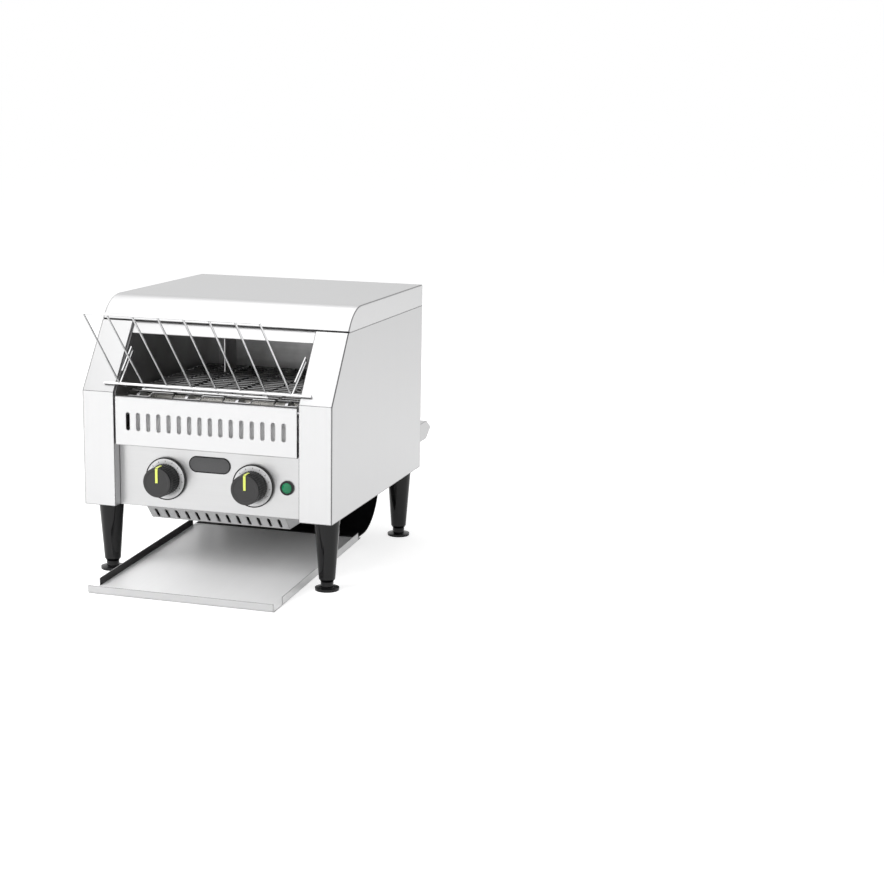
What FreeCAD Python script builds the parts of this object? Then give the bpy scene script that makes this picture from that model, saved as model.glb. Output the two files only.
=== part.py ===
import FreeCAD, Part
import math
import os
import Sketcher

# Counter-top conveyor toaster.
# X points right, Y points back from the front face of the columns, Z points up from the counter.
# Each finished piece is moved forward by one distance, so that the origin lies under the middle.

SIZES = {
    # Body shell
    "body_width": 368,
    "body_depth": 400,
    "body_height": 387,
    "underside_height": 102,
    "sheet": 1.2,
    "fold_radius": 1.8,
    "column_width": 47.3,
    "slant_rise": 91.3,
    "slant_setback": 64.5,
    "cover_skirt": 32.2,
    "cover_bend": 59,
    "cover_lip_gap": 1.5,
    "rear_flange": 18,
    # Front panels
    "fascia_setback": 16,
    "fascia_height": 88,
    "fascia_flange": 14,
    "panel_clearance": 0.3,
    "vent_panel_gap": 2.7,
    "vent_panel_height": 68.4,
    "vent_panel_return": 9,
    "vent_slot_margin": 19,
    "vent_slot_width": 5.6,
    "vent_slot_height": 25,
    "baffle_depth": 8,
    "baffle_height": 38,
    "lintel_drop": 16.3,
    "lintel_recess": 5,
    "lintel_tuck": 8,
    "lintel_fold": 10,
    # Rear panel and what is fixed to it
    "rear_slot_pitch": 14,
    "rear_slot_width": 4,
    "rear_slot_height": 60,
    "rear_slot_rise": 73,
    "gland_diameter": 20,
    "gland_length": 18,
    "gland_nut_length": 6,
    "gland_across": 110,
    "gland_rise": 28,
    "bracket_reach": 59,
    "bracket_straight": 37,
    "bracket_height": 28,
    "bracket_rise": 38,
    "bracket_foot": 22,
    "screw_diameter": 4,
    "screw_head_diameter": 7,
    "screw_head_height": 2.2,
    "screw_length": 8,
    # Base, pan, chute and tray
    "guide_wall_setback": 32.2,
    "drop_opening_margin": 2,
    "drop_opening_inset": 2.5,
    "pan_side_inset": 32.2,
    "pan_front": 29,
    "pan_knee": 50,
    "pan_depth": 24,
    "pan_rear_slope": 15,
    "pan_rear_gap": 9.2,
    "pan_slot_margin": 11.8,
    "pan_slot_width": 4.4,
    "pan_slot_height": 14,
    "chute_side_gap": 3.5,
    "chute_sheet": 1,
    "chute_setback": 45,
    "chute_rise": 103,
    "chute_length": 97,
    "chute_tray_gap": 0.5,
    "chute_radius": 75,
    "tray_sheet": 1,
    "tray_side_inset": 0.5,
    "tray_reach": 88,
    "tray_overlap": 4,
    "tray_ground_gap": 0.2,
    "tray_rise": 15.9,
    "tray_lip_height": 11.8,
    "tray_wall_height": 11.5,
    "tray_wall_setback": 33,
    "tray_wall_rear_gap": 12,
    "tray_lip_radius": 3,
    "rest_width": 20,
    "rest_inset": 32,
    "rest_length": 16,
    # Legs
    "leg_side_inset": 21,
    "leg_end_inset": 40,
    "leg_top_diameter": 36,
    "leg_low_diameter": 23,
    "leg_neck_diameter": 18,
    "leg_low_height": 16,
    "leg_chamfer": 4,
    "leg_stud_diameter": 8,
    "leg_stud_reach": 8,
    "leg_nut_diameter": 14,
    "leg_nut_height": 6,
    "foot_diameter": 34,
    "foot_thickness": 5.5,
    "foot_stud_diameter": 8,
    "foot_stud_length": 34,
    "running_clearance": 0.06,
    "moving_clearance": 0.3,
    # Chamber
    "wall_foot_gap": 1,
    "wall_top_gap": 9,
    "wall_tail": 10,
    "wall_front_setback": 6,
    "upper_reflector_drop": 4,
    "upper_reflector_setback": 21,
    "lower_reflector_drop": 36.3,
    "rear_shield_overlap": 15,
    "upper_tube_diameter": 12,
    "upper_tube_drop": 24,
    "upper_tube_lead": 14.5,
    "upper_tube_tail": 75,
    "lower_tube_diameter": 10,
    "lower_tube_lead": 56,
    "lower_tube_tail": 61.4,
    "end_cap_diameter": 20,
    "end_cap_length": 12,
    "support_across": -8,
    "support_tongue_length": 87,
    "support_tongue_depth": 40,
    "wall_screw_back": 36,
    "wall_screw_rise": 9.6,
    # Wire belt
    "belt_pitch": 14.3,
    "belt_wire_diameter": 2,
    "belt_side_gap": 8.5,
    "belt_crank_pitch": 75,
    "belt_crank_width": 34,
    "belt_gap": 0.3,
    "belt_shaft_drop": 15.1,
    "idler_back": 34,
    "belt_shaft_diameter": 10,
    "belt_sprocket_width": 4,
    "belt_sprocket_inset": 17,
    "drive_shaft_setback": 108.6,
    "bearing_diameter": 22,
    "bearing_length": 10,
    "rail_width": 3,
    "rail_height": 5,
    "rail_across": 65,
    "rail_front_gap": 24,
    "rail_back_gap": 25.4,
    "rail_rod_diameter": 6,
    # Chain drive
    "chain_pitch": 8,
    "chain_offset": 18.3,
    "chain_bead_diameter": 5.2,
    "chain_width": 6,
    "chain_bar_thickness": 1.2,
    "chain_bar_height": 4,
    "chain_sprocket_width": 2.4,
    "motor_shaft_diameter": 8,
    "motor_axis_rise": 29.8,
    "motor_length": 56,
    "motor_width": 60,
    "motor_height": 54,
    "motor_bracket_sheet": 2,
    # Fan
    "fan_side": 80,
    "fan_depth": 25,
    "fan_back": 130,
    "fan_across": -30,
    "fan_bore": 76,
    "fan_blade_reach": 36.5,
    "fan_hub_diameter": 32,
    "fan_pin_diameter": 4,
    "fan_spoke_width": 5,
    "fan_spoke_height": 3,
    "fan_blade_sheet": 1.4,
    "fan_blade_chord": 15,
    # Controls
    "knob_across": 65,
    "knob_rise": 42.5,
    "knob_diameter": 43.4,
    "knob_face_diameter": 41.6,
    "knob_projection": 33,
    "knob_edge": 1.5,
    "knob_flute_radius": 1.1,
    "pointer_width": 3.6,
    "pointer_proud": 0.4,
    "pointer_skirt_length": 13,
    "bezel_diameter": 60,
    "bezel_thickness": 5.5,
    "bezel_rim": 1.6,
    "bezel_rim_proud": 0.8,
    "spindle_diameter": 6,
    "spindle_clear_hole": 10,
    "switch_side": 38,
    "switch_depth": 32,
    "dial_side": 26,
    "dial_depth": 14,
    "badge_width": 62,
    "badge_height": 23,
    "badge_thickness": 1.4,
    "badge_rise": 66,
    "pilot_inset": 22.7,
    "pilot_rise": 43,
    "pilot_diameter": 20,
    "pilot_rim": 2.6,
    "pilot_flange": 2.5,
    "pilot_barrel_diameter": 15,
    "pilot_barrel_length": 24,
    "pilot_lens_proud": 1.6,
    "terminal_width": 48,
    "terminal_depth": 20,
    "terminal_height": 18,
    "terminal_across": 60,
    "terminal_back_gap": 32.8,
    # Loading rack
    "rack_rod_diameter": 4,
    "rack_wire_diameter": 2.8,
    "rack_rail_diameter": 2.5,
    "rack_lower_diameter": 3,
    "rack_rod_overlap": 15.8,
    "rack_rod_rise": 11.8,
    "rack_wire_inset": 10,
    "rack_wire_shift": 5,
    "rack_top_inset": 2.4,
    "rack_reach": 102.5,
    "rack_rise": 108.5,
    "rack_tail": 10,
    "rack_hook_inset": 6,
    "rack_hook_gap_to_wire": 0.4,
    "rack_hook_length": 58,
    "rack_hook_gap": 7,
    "rack_weld": 0.5,
    # One overrun serves every cut
    "overrun": 2,
}

# Counts and angles
VENT_SLOT_COUNT = 16
REAR_SLOT_COUNT = 12
PAN_SLOT_COUNT = 13
BELT_TOOTH_COUNT = 8
CHAIN_TOOTH_COUNT = 12
CHAIN_STEP_COUNT = 18
FAN_BLADE_COUNT = 7
FAN_BLADE_ANGLE = 40
KNOB_FLUTE_COUNT = 24
RACK_WIRE_COUNT = 8
RACK_TAILED = range(1, RACK_WIRE_COUNT - 1)
TUBE_COUNT = 3
TERMINAL_COUNT = 3

document = FreeCAD.newDocument("ConveyorToaster")
sheet = document.addObject("Spreadsheet::Sheet", "Sizes")
for row, (alias, number) in enumerate(SIZES.items(), 1):
    sheet.set(f"A{row}", alias)
    sheet.set(f"B{row}", str(number))
    sheet.setAlias(f"B{row}", alias)
document.recompute()


class Length:
    """A length with its value and the expression that works it out from the sheet."""

    def __init__(self, text, value):
        self.text = text
        self.value = value

    def __add__(self, other):
        other = length(other)
        return Length(f"({self.text} + {other.text})", self.value + other.value)

    def __sub__(self, other):
        other = length(other)
        return Length(f"({self.text} - {other.text})", self.value - other.value)

    def __mul__(self, other):
        other = length(other)
        return Length(f"({self.text} * {other.text})", self.value * other.value)

    def __truediv__(self, other):
        other = length(other)
        return Length(f"({self.text} / {other.text})", self.value / other.value)

    def __radd__(self, other):
        return length(other) + self

    def __rsub__(self, other):
        return length(other) - self

    def __rmul__(self, other):
        return length(other) * self

    def __neg__(self):
        return Length(f"(0 - {self.text})", -self.value)

    def __float__(self):
        return self.value


def length(value):
    """A plain number as a Length, and a Length as it is."""
    if isinstance(value, Length):
        return value
    return Length(f"({float(value):.12g})", float(value))


class Sheet:
    """The cells of the sheet, each as a Length under its alias."""


size = Sheet()
for alias in SIZES:
    setattr(size, alias, Length(f"Sizes.{alias}", float(sheet.get(alias))))


def root(value):
    """The square root of a Length."""
    return Length(f"sqrt({value.text})", math.sqrt(value.value))


# Places that several pieces share
half_width = size.body_width / 2
inside = half_width - size.sheet
column_inner = half_width - size.column_width
chamber = column_inner - size.sheet
cover_edge = size.body_height - size.cover_skirt
shoulder_height = cover_edge - size.slant_rise
lean = size.slant_setback / size.slant_rise
fascia_back = size.fascia_setback + size.sheet
fascia_top = size.underside_height + size.fascia_height
vent_top = fascia_top + size.vent_panel_height
vent_half_width = column_inner - size.vent_panel_gap
rear_inner = size.body_depth - size.sheet
floor_top = size.underside_height + size.sheet

belt_radius = size.belt_pitch / (2 * math.sin(math.pi / BELT_TOOTH_COUNT))
belt_shaft_height = vent_top - size.belt_shaft_drop
belt_half_width = chamber - size.belt_side_gap
belt_run = size.body_depth - size.idler_back - size.drive_shaft_setback
belt_step_count = round(float(belt_run / size.belt_pitch))
drive_back = size.idler_back + belt_step_count * size.belt_pitch

chute_back = size.body_depth - size.chute_setback
chute_tip = chute_back - size.chute_length
chute_top = floor_top + size.chute_rise - size.sheet
chute_half_width = chamber - size.chute_side_gap
guide_wall = drive_back - size.guide_wall_setback
drop_opening_back = chute_back + size.drop_opening_margin
drop_half_width = chamber - size.drop_opening_inset

tray_front = -size.tray_reach
tray_rear = chute_tip + size.tray_overlap
tray_half_width = chamber - size.tray_side_inset
tray_slope = size.tray_rise / (tray_rear - tray_front)
chute_underside = size.tray_ground_gap + size.tray_rise + size.tray_sheet + size.chute_tray_gap

wall_top = size.body_height - size.wall_top_gap
upper_reflector_height = wall_top - size.upper_reflector_drop
upper_reflector_front = size.slant_setback + size.upper_reflector_setback
upper_tube_height = upper_reflector_height - size.upper_tube_drop
lower_reflector_height = belt_shaft_height - size.lower_reflector_drop

chain_plane = column_inner + size.chain_offset
chain_radius = size.chain_pitch / (2 * math.sin(math.pi / CHAIN_TOOTH_COUNT))
chain_distance = CHAIN_STEP_COUNT * size.chain_pitch
motor_axis_height = floor_top + size.motor_axis_rise
chain_drop = belt_shaft_height - motor_axis_height
motor_back = drive_back - root(chain_distance * chain_distance - chain_drop * chain_drop)

gland_height = size.underside_height + size.gland_rise
pilot_across = column_inner - size.pilot_inset
pilot_height = size.underside_height + size.pilot_rise
knob_height = size.underside_height + size.knob_rise
knob_front = size.fascia_setback - size.knob_projection
bezel_front = size.fascia_setback - size.bezel_thickness
knob_back = bezel_front - size.moving_clearance

rack_rod_radius = size.rack_rod_diameter / 2
rack_rod_height = shoulder_height + size.rack_rod_rise
slant_length = root(size.slant_setback * size.slant_setback + size.slant_rise * size.slant_rise)
rack_stand_off = (rack_rod_radius + size.moving_clearance) * slant_length / size.slant_rise
rack_rod_back = lean * size.rack_rod_rise - rack_stand_off
rack_run = root(size.rack_reach * size.rack_reach + size.rack_rise * size.rack_rise)
rack_rail_drop = (size.rack_rod_diameter - size.rack_rail_diameter) / 2 * size.rack_rise / rack_run
rack_tip = size.rack_reach - rack_rod_back - rack_rail_drop + size.rack_rail_diameter / 2
origin_back = (size.body_depth + size.bracket_reach - rack_tip) / 2


def slant(height):
    """How far back the slanted face lies at a height."""
    return lean * (height - shoulder_height)


def tray_bottom(back):
    """The height of the tray floor's underside at a place along Y."""
    return size.tray_ground_gap + tray_slope * (back - tray_front)


# Helpers for the document
PLANES = {"XY": ("XY_Plane", 1), "XZ": ("XZ_Plane", -1), "YZ": ("YZ_Plane", 1)}
TURNS = {"x": FreeCAD.Vector(1, 0, 0), "y": FreeCAD.Vector(0, 1, 0), "z": FreeCAD.Vector(0, 0, 1)}
NODES = {}


def bind(thing, prop, value):
    thing.setExpression(prop, length(value).text)


def move(thing, x, y, z):
    for axis, value in zip("xyz", (x, y, z)):
        bind(thing, f"Placement.Base.{axis}", value)


def node(name, *things):
    """Registers a finished piece, or a group of like pieces, under its name and shifts it to the origin."""
    whole = things[0]
    if len(things) > 1 or whole.TypeId in ("Part::Box", "Part::Cylinder", "Part::Cone"):
        whole = document.addObject("Part::Compound", name + "_group")
        whole.Links = list(things)
    whole.Label = name
    bind(whole, "Placement.Base.y", -origin_back)
    NODES[name] = whole
    return whole


def block(x, y, z):
    """A box between pairs of places along each axis."""
    box = document.addObject("Part::Box", "Block")
    for prop, (low, high) in zip(("Length", "Width", "Height"), (x, y, z)):
        bind(box, prop, length(high) - low)
    move(box, x[0], y[0], z[0])
    return box


def bar(axis, start, reach, radius):
    """A round bar along an axis from a starting point."""
    rod = document.addObject("Part::Cylinder", "Bar")
    rod.Placement = FreeCAD.Placement(FreeCAD.Vector(), FreeCAD.Rotation(TURNS["z"], TURNS[axis]))
    bind(rod, "Radius", radius)
    bind(rod, "Height", reach)
    move(rod, *start)
    return rod


def cut(base, *tools):
    """The base less the tools."""
    tool = tools[0]
    if len(tools) > 1:
        tool = fuse(*tools)
    result = document.addObject("Part::Cut", "Cut")
    result.Base = base
    result.Tool = tool
    return result


def fuse(*things):
    result = document.addObject("Part::MultiFuse", "Fuse")
    result.Shapes = list(things)
    return result


def group(*things):
    result = document.addObject("Part::Compound", "Group")
    result.Links = list(things)
    return result


def new_body(name):
    body = document.addObject("PartDesign::Body", name + "_body")
    document.recompute()
    return body


def new_sketch(body, plane, height=0):
    """A sketch on one of the body's origin planes, or parallel to it."""
    role, sign = PLANES[plane]
    sketch = body.newObject("Sketcher::SketchObject", "Sketch")
    support = [feature for feature in body.Origin.OriginFeatures if feature.Role == role]
    sketch.AttachmentSupport = [(support[0], "")]
    sketch.MapMode = "FlatFace"
    bind(sketch, "AttachmentOffset.Base.z", sign * length(height))
    return sketch


def fix(sketch, item, point, x, y):
    """Fixes a point of the sketch at signed distances from the origin."""
    for kind, value in (("DistanceX", x), ("DistanceY", y)):
        value = length(value)
        number = sketch.addConstraint(Sketcher.Constraint(kind, -1, 1, item, point, value.value))
        bind(sketch, f"Constraints[{number}]", value)


def polygon(sketch, points):
    """A closed outline with straight sides."""
    places = [FreeCAD.Vector(float(x), float(y), 0) for x, y in points]
    first = sketch.GeometryCount
    count = len(places)
    for index in range(count):
        sketch.addGeometry(Part.LineSegment(places[index], places[(index + 1) % count]), False)
    for index in range(count):
        after = first + (index + 1) % count
        sketch.addConstraint(Sketcher.Constraint("Coincident", first + index, 2, after, 1))
    for index, (x, y) in enumerate(points):
        fix(sketch, first + index, 1, x, y)


def rectangle(sketch, x, y):
    polygon(sketch, [(x[0], y[0]), (x[1], y[0]), (x[1], y[1]), (x[0], y[1])])


def circle(sketch, x, y, radius):
    radius = length(radius)
    centre = FreeCAD.Vector(float(x), float(y), 0)
    item = sketch.addGeometry(Part.Circle(centre, TURNS["z"], radius.value), False)
    fix(sketch, item, 3, x, y)
    number = sketch.addConstraint(Sketcher.Constraint("Radius", item, radius.value))
    bind(sketch, f"Constraints[{number}]", radius)


def round_slot(sketch, x, y, width, height):
    """A slot with half-round ends, upright or lying."""
    upright = height.value > width.value
    radius = (width if upright else height) / 2
    reach = (height if upright else width) / 2 - radius

    def spot(along, across):
        pair = (x + across, y + along) if upright else (x + along, y - across)
        return pair

    corners = [spot(reach, -radius), spot(-reach, -radius), spot(-reach, radius), spot(reach, radius)]
    centres = {1: spot(-reach, 0), 3: spot(reach, 0)}
    vectors = [FreeCAD.Vector(float(a), float(b), 0) for a, b in corners]
    turn = math.pi if upright else math.pi / 2
    sketch.addGeometry(Part.LineSegment(vectors[0], vectors[1]), False)
    for item in (1, 3):
        centre = FreeCAD.Vector(float(centres[item][0]), float(centres[item][1]), 0)
        ring = Part.Circle(centre, TURNS["z"], radius.value)
        start = turn if item == 1 else turn + math.pi
        sketch.addGeometry(Part.ArcOfCircle(ring, start, start + math.pi), False)
        if item == 1:
            sketch.addGeometry(Part.LineSegment(vectors[2], vectors[3]), False)
    for item, after in ((0, 1), (1, 2), (2, 3), (3, 0)):
        sketch.addConstraint(Sketcher.Constraint("Coincident", item, 2, after, 1))
    for item, point, corner in ((0, 1, 0), (0, 2, 1), (2, 1, 2), (2, 2, 3)):
        fix(sketch, item, point, *corners[corner])
    for item in (1, 3):
        value = length(centres[item][1] if upright else centres[item][0])
        kind = "DistanceY" if upright else "DistanceX"
        number = sketch.addConstraint(Sketcher.Constraint(kind, -1, 1, item, 3, value.value))
        bind(sketch, f"Constraints[{number}]", value)


def pad(body, plane, draw, low, high):
    """Material between two places along the plane's axis, with the outline that draw puts on the sketch."""
    sketch = new_sketch(body, plane, low)
    draw(sketch)
    result = body.newObject("PartDesign::Pad", "Pad")
    result.Profile = sketch
    result.Reversed = PLANES[plane][1] < 0
    bind(result, "Length", length(high) - low)
    document.recompute()
    return result


def pocket(body, plane, draw, low, high):
    """A cut between two places along the plane's axis. Stops when it takes nothing away."""
    before = body.Shape.Volume
    sketch = new_sketch(body, plane, low)
    draw(sketch)
    result = body.newObject("PartDesign::Pocket", "Pocket")
    result.Profile = sketch
    result.Reversed = PLANES[plane][1] > 0
    bind(result, "Length", length(high) - low)
    document.recompute()
    if body.Shape.Volume >= before:
        raise RuntimeError(f"{result.Name} in {body.Name} cuts nothing")
    return result


def repeat_along(body, feature, axis, pitch, count):
    """Copies a feature along an axis of its sketch at a steady pitch."""
    pattern = body.newObject("PartDesign::LinearPattern", "Pattern")
    pattern.Originals = [feature]
    pattern.Direction = (feature.Profile[0], [axis])
    pattern.Mode = "Spacing"
    bind(pattern, "Offset", pitch)
    pattern.Occurrences = count
    body.Tip = pattern
    document.recompute()
    return pattern


def edges(shape, test):
    return [f"Edge{number}" for number, edge in enumerate(shape.Edges, 1) if test(edge)]


def faces(shape, test):
    return [f"Face{number}" for number, face in enumerate(shape.Faces, 1) if test(face)]


def near(value, target):
    return abs(value - float(target)) < float(size.running_clearance)


def round_edges(body, feature, test, radius):
    result = body.newObject("PartDesign::Fillet", "Fillet")
    result.Base = (feature, edges(feature.Shape, test))
    bind(result, "Radius", radius)
    document.recompute()
    return result


def hollow(body, feature, test, wall):
    """Turns a solid into sheet of one thickness, open at the faces that pass the test."""
    result = body.newObject("PartDesign::Thickness", "Shell")
    result.Base = (feature, faces(feature.Shape, test))
    bind(result, "Value", wall)
    document.recompute()
    return result


def along_x(edge):
    spread = edge.BoundBox
    return spread.YLength + spread.ZLength < float(size.running_clearance)


# Side casings: outer wall, front column, slanted shoulder, inner return strip and rear flange
screw_height_shares = (0.12, 0.5, 0.88)
rear_screw_across = inside - size.rear_flange / 2
screw_hole_radius = size.screw_diameter / 2 + size.panel_clearance
rear_screw_heights = [
    size.underside_height + (cover_edge - size.underside_height) * share for share in screw_height_shares
]


def side_casing(name, side):
    body = new_body(name)
    low, high = sorted((side * column_inner, side * half_width), key=float)
    profile = [
        (0, size.underside_height),
        (0, shoulder_height),
        (size.slant_setback, cover_edge),
        (size.body_depth, cover_edge),
        (size.body_depth, size.underside_height),
    ]
    block_out = pad(body, "YZ", lambda sketch: polygon(sketch, profile), low, high)

    def outer_front(edge):
        outer = all(near(abs(vertex.X), half_width) for vertex in edge.Vertexes)
        return outer and edge.BoundBox.YMax <= float(size.slant_setback) + float(size.running_clearance)

    folded = round_edges(body, block_out, outer_front, size.fold_radius)

    def open_side(face):
        box = face.BoundBox
        if near(box.XLength, 0):
            return near(abs(box.XMax), column_inner)
        flat = near(box.ZLength, 0)
        return flat or (near(box.YLength, 0) and near(box.YMax, size.body_depth))

    hollow(body, folded, open_side, size.sheet)
    strip = [
        (0, size.underside_height),
        (0, shoulder_height),
        (size.slant_setback, cover_edge),
        (size.slant_setback + fascia_back, cover_edge),
        (fascia_back, shoulder_height),
        (fascia_back, size.underside_height),
    ]
    low, high = sorted((side * column_inner, side * (column_inner + size.sheet)), key=float)
    pad(body, "YZ", lambda sketch: polygon(sketch, strip), low, high)
    low, high = sorted((side * (inside - size.rear_flange), side * (inside + size.sheet / 2)), key=float)

    def flange(sketch):
        rectangle(sketch, (low, high), (floor_top, cover_edge))

    pad(body, "XZ", flange, rear_inner - size.sheet, rear_inner)

    def holes(sketch):
        for height in rear_screw_heights:
            circle(sketch, side * rear_screw_across, height, screw_hole_radius)

    pocket(body, "XZ", holes, rear_inner - size.sheet - size.overrun, rear_inner + size.overrun)
    node(name, body)


side_casing("left_side_casing", -1)
side_casing("right_side_casing", 1)


# Top cover: continues the slant, bends back over a large radius and has skirts all round.
# Its front skirt ends a little above the shoulders, which leaves a narrow dark gap across the front.
def top_cover():
    body = new_body("top_cover")
    profile = [
        (size.slant_setback, cover_edge),
        (slant(size.body_height), size.body_height),
        (size.body_depth, size.body_height),
        (size.body_depth, cover_edge),
    ]
    solid = pad(body, "YZ", lambda sketch: polygon(sketch, profile), -half_width, half_width)

    def front_corner(edge):
        return along_x(edge) and near(edge.BoundBox.ZMax, size.body_height) and \
            edge.BoundBox.YMax < float(size.body_depth) / 2

    bent = round_edges(body, solid, front_corner, size.cover_bend)

    def side_edge(edge):
        outer = near(abs(edge.CenterOfMass.x), half_width)
        return outer and edge.BoundBox.ZMax > float(cover_edge) + float(size.sheet) and \
            edge.BoundBox.YMin < float(size.body_depth) - float(size.sheet)

    folded = round_edges(body, bent, side_edge, size.fold_radius)
    hollow(body, folded, lambda face: near(face.BoundBox.ZMax, cover_edge), size.sheet)

    def lip_gap(sketch):
        depth = (size.slant_setback - size.overrun, size.slant_setback + size.sheet * 3)
        rectangle(sketch, depth, (cover_edge - size.overrun, cover_edge + size.cover_lip_gap))

    reach = half_width + size.overrun
    pocket(body, "YZ", lip_gap, -reach, reach)
    node("top_cover", body)


top_cover()


# Lintel: recessed strip under the front edge of the cover, folded inwards at its lower edge
def lintel():
    body = new_body("lintel")
    low = cover_edge - size.lintel_drop
    high = cover_edge + size.lintel_tuck
    face_low = slant(low) + size.lintel_recess
    face_high = slant(high) + size.lintel_recess
    profile = [
        (face_low, low),
        (face_high, high),
        (face_high + size.sheet, high),
        (slant(low + size.sheet) + size.lintel_recess + size.sheet, low + size.sheet),
        (face_low + size.lintel_fold, low + size.sheet),
        (face_low + size.lintel_fold, low),
    ]
    pad(body, "YZ", lambda sketch: polygon(sketch, profile), -chamber, chamber)
    node("lintel", body)


lintel()


# Vent panel: a channel with sixteen upright slots, standing on the flange of the control panel
vent_centre = fascia_top + size.vent_panel_height / 2
vent_first = size.vent_slot_margin - vent_half_width
vent_slot_pitch = -2 * vent_first / (VENT_SLOT_COUNT - 1)


def vent_panel():
    body = new_body("vent_panel")
    foot = size.fascia_setback + size.fascia_flange
    profile = [
        (0, fascia_top),
        (foot, fascia_top),
        (foot, fascia_top + size.sheet),
        (size.sheet, fascia_top + size.sheet),
        (size.sheet, vent_top - size.sheet),
        (size.vent_panel_return, vent_top - size.sheet),
        (size.vent_panel_return, vent_top),
        (0, vent_top),
    ]
    channel = pad(body, "YZ", lambda sketch: polygon(sketch, profile), -vent_half_width, vent_half_width)

    def front_fold(edge):
        return along_x(edge) and near(edge.BoundBox.YMin, 0)

    round_edges(body, channel, front_fold, size.sheet)

    def slot(sketch):
        round_slot(sketch, vent_first, vent_centre, size.vent_slot_width, size.vent_slot_height)

    first = pocket(body, "XZ", slot, -size.overrun, size.sheet + size.overrun)
    repeat_along(body, first, "H_Axis", vent_slot_pitch, VENT_SLOT_COUNT)
    node("vent_panel", body)


vent_panel()


# Baffle plate: a shallow channel behind all slots but the first
def vent_baffle():
    body = new_body("vent_baffle")
    low = vent_centre - size.baffle_height / 2
    high = vent_centre + size.baffle_height / 2
    wall = size.sheet
    profile = [
        (wall, low),
        (size.baffle_depth + wall, low),
        (size.baffle_depth + wall, high),
        (wall, high),
        (wall, high - wall),
        (size.baffle_depth, high - wall),
        (size.baffle_depth, low + wall),
        (wall, low + wall),
    ]
    left = vent_first + vent_slot_pitch / 2
    pad(body, "YZ", lambda sketch: polygon(sketch, profile), left, vent_half_width - size.vent_slot_width)
    node("vent_baffle", body)


vent_baffle()


# Control panel: flat fascia with a flange under the vent panel and holes for the controls
def control_panel():
    body = new_body("control_panel")
    flange_back = size.fascia_setback + size.fascia_flange
    profile = [
        (size.fascia_setback, size.underside_height),
        (fascia_back, size.underside_height),
        (fascia_back, fascia_top - size.sheet),
        (flange_back, fascia_top - size.sheet),
        (flange_back, fascia_top),
        (size.fascia_setback, fascia_top),
    ]
    half = column_inner - size.panel_clearance
    pad(body, "YZ", lambda sketch: polygon(sketch, profile), -half, half)

    def holes(sketch):
        circle(sketch, -size.knob_across, knob_height, size.spindle_clear_hole / 2)
        circle(sketch, size.knob_across, knob_height, size.spindle_clear_hole / 2)
        barrel = size.pilot_barrel_diameter / 2 + size.panel_clearance
        circle(sketch, pilot_across, pilot_height, barrel)

    pocket(body, "XZ", holes, size.fascia_setback - size.overrun, fascia_back + size.overrun)
    node("control_panel", body)


control_panel()


# Rear panel: flat, with upright air slots, screw holes and the hole of the cable gland
def rear_panel():
    body = new_body("rear_panel")

    def plate(sketch):
        rectangle(sketch, (-inside, inside), (size.underside_height, cover_edge))

    pad(body, "XZ", plate, rear_inner, size.body_depth)

    def holes(sketch):
        for side in (-1, 1):
            for height in rear_screw_heights:
                circle(sketch, side * rear_screw_across, height, screw_hole_radius)
        circle(sketch, size.gland_across, gland_height, size.gland_diameter / 4 + size.panel_clearance)

    pocket(body, "XZ", holes, rear_inner - size.overrun, size.body_depth + size.overrun)
    left = -size.rear_slot_pitch * (REAR_SLOT_COUNT - 1) / 2
    middle = size.underside_height + size.rear_slot_rise

    def slot(sketch):
        round_slot(sketch, left, middle, size.rear_slot_width, size.rear_slot_height)

    first = pocket(body, "XZ", slot, rear_inner - size.overrun, size.body_depth + size.overrun)
    repeat_along(body, first, "H_Axis", size.rear_slot_pitch, REAR_SLOT_COUNT)
    node("rear_panel", body)


rear_panel()


def casing_screws():
    """Screws of the rear panel and, as heads alone, those of the inner walls."""
    screws = []
    for side in (-1, 1):
        for height in rear_screw_heights:
            spot = (side * rear_screw_across, size.body_depth, height)
            head = bar("y", spot, size.screw_head_height, size.screw_head_diameter / 2)
            start = (spot[0], size.body_depth - size.screw_length, height)
            shank = bar("y", start, size.screw_length, size.screw_diameter / 2)
            screws.append(fuse(head, shank))
        low = min((side * chamber, side * (chamber - size.screw_head_height)), key=float)
        spot = (low, size.wall_screw_back, vent_top + size.wall_screw_rise)
        screws.append(bar("x", spot, size.screw_head_height, size.screw_head_diameter / 2))
    node("casing_screws", *screws)


casing_screws()


# Rear bracket: folded sheet at the right rear edge, with a sloping nose
def rear_bracket():
    body = new_body("rear_bracket")
    low = size.underside_height + size.bracket_rise
    high = low + size.bracket_height
    nose = size.body_depth + size.bracket_reach
    bend = size.body_depth + size.bracket_straight
    profile = [
        (size.body_depth, low),
        (bend, low),
        (nose, high - size.bracket_height / 2),
        (nose, high - size.bracket_height / 2 + size.sheet),
        (bend, high),
        (size.body_depth, high),
    ]
    cheek = half_width - size.fold_radius
    pad(body, "YZ", lambda sketch: polygon(sketch, profile), cheek - size.sheet, cheek)

    def foot(sketch):
        rectangle(sketch, (cheek - size.bracket_foot, cheek), (low, high))

    pad(body, "XZ", foot, size.body_depth, size.body_depth + size.sheet)
    shelf = [
        (size.body_depth, high - size.sheet),
        (bend, high - size.sheet),
        (bend, high),
        (size.body_depth, high),
    ]
    pad(body, "YZ", lambda sketch: polygon(sketch, shelf), cheek - size.bracket_foot / 2, cheek)
    node("rear_bracket", body)


rear_bracket()


gland_nose_share = 0.7
gland_neck_share = 0.5
gland_nut_share = 0.8
gland_bore_share = 0.35


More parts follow.
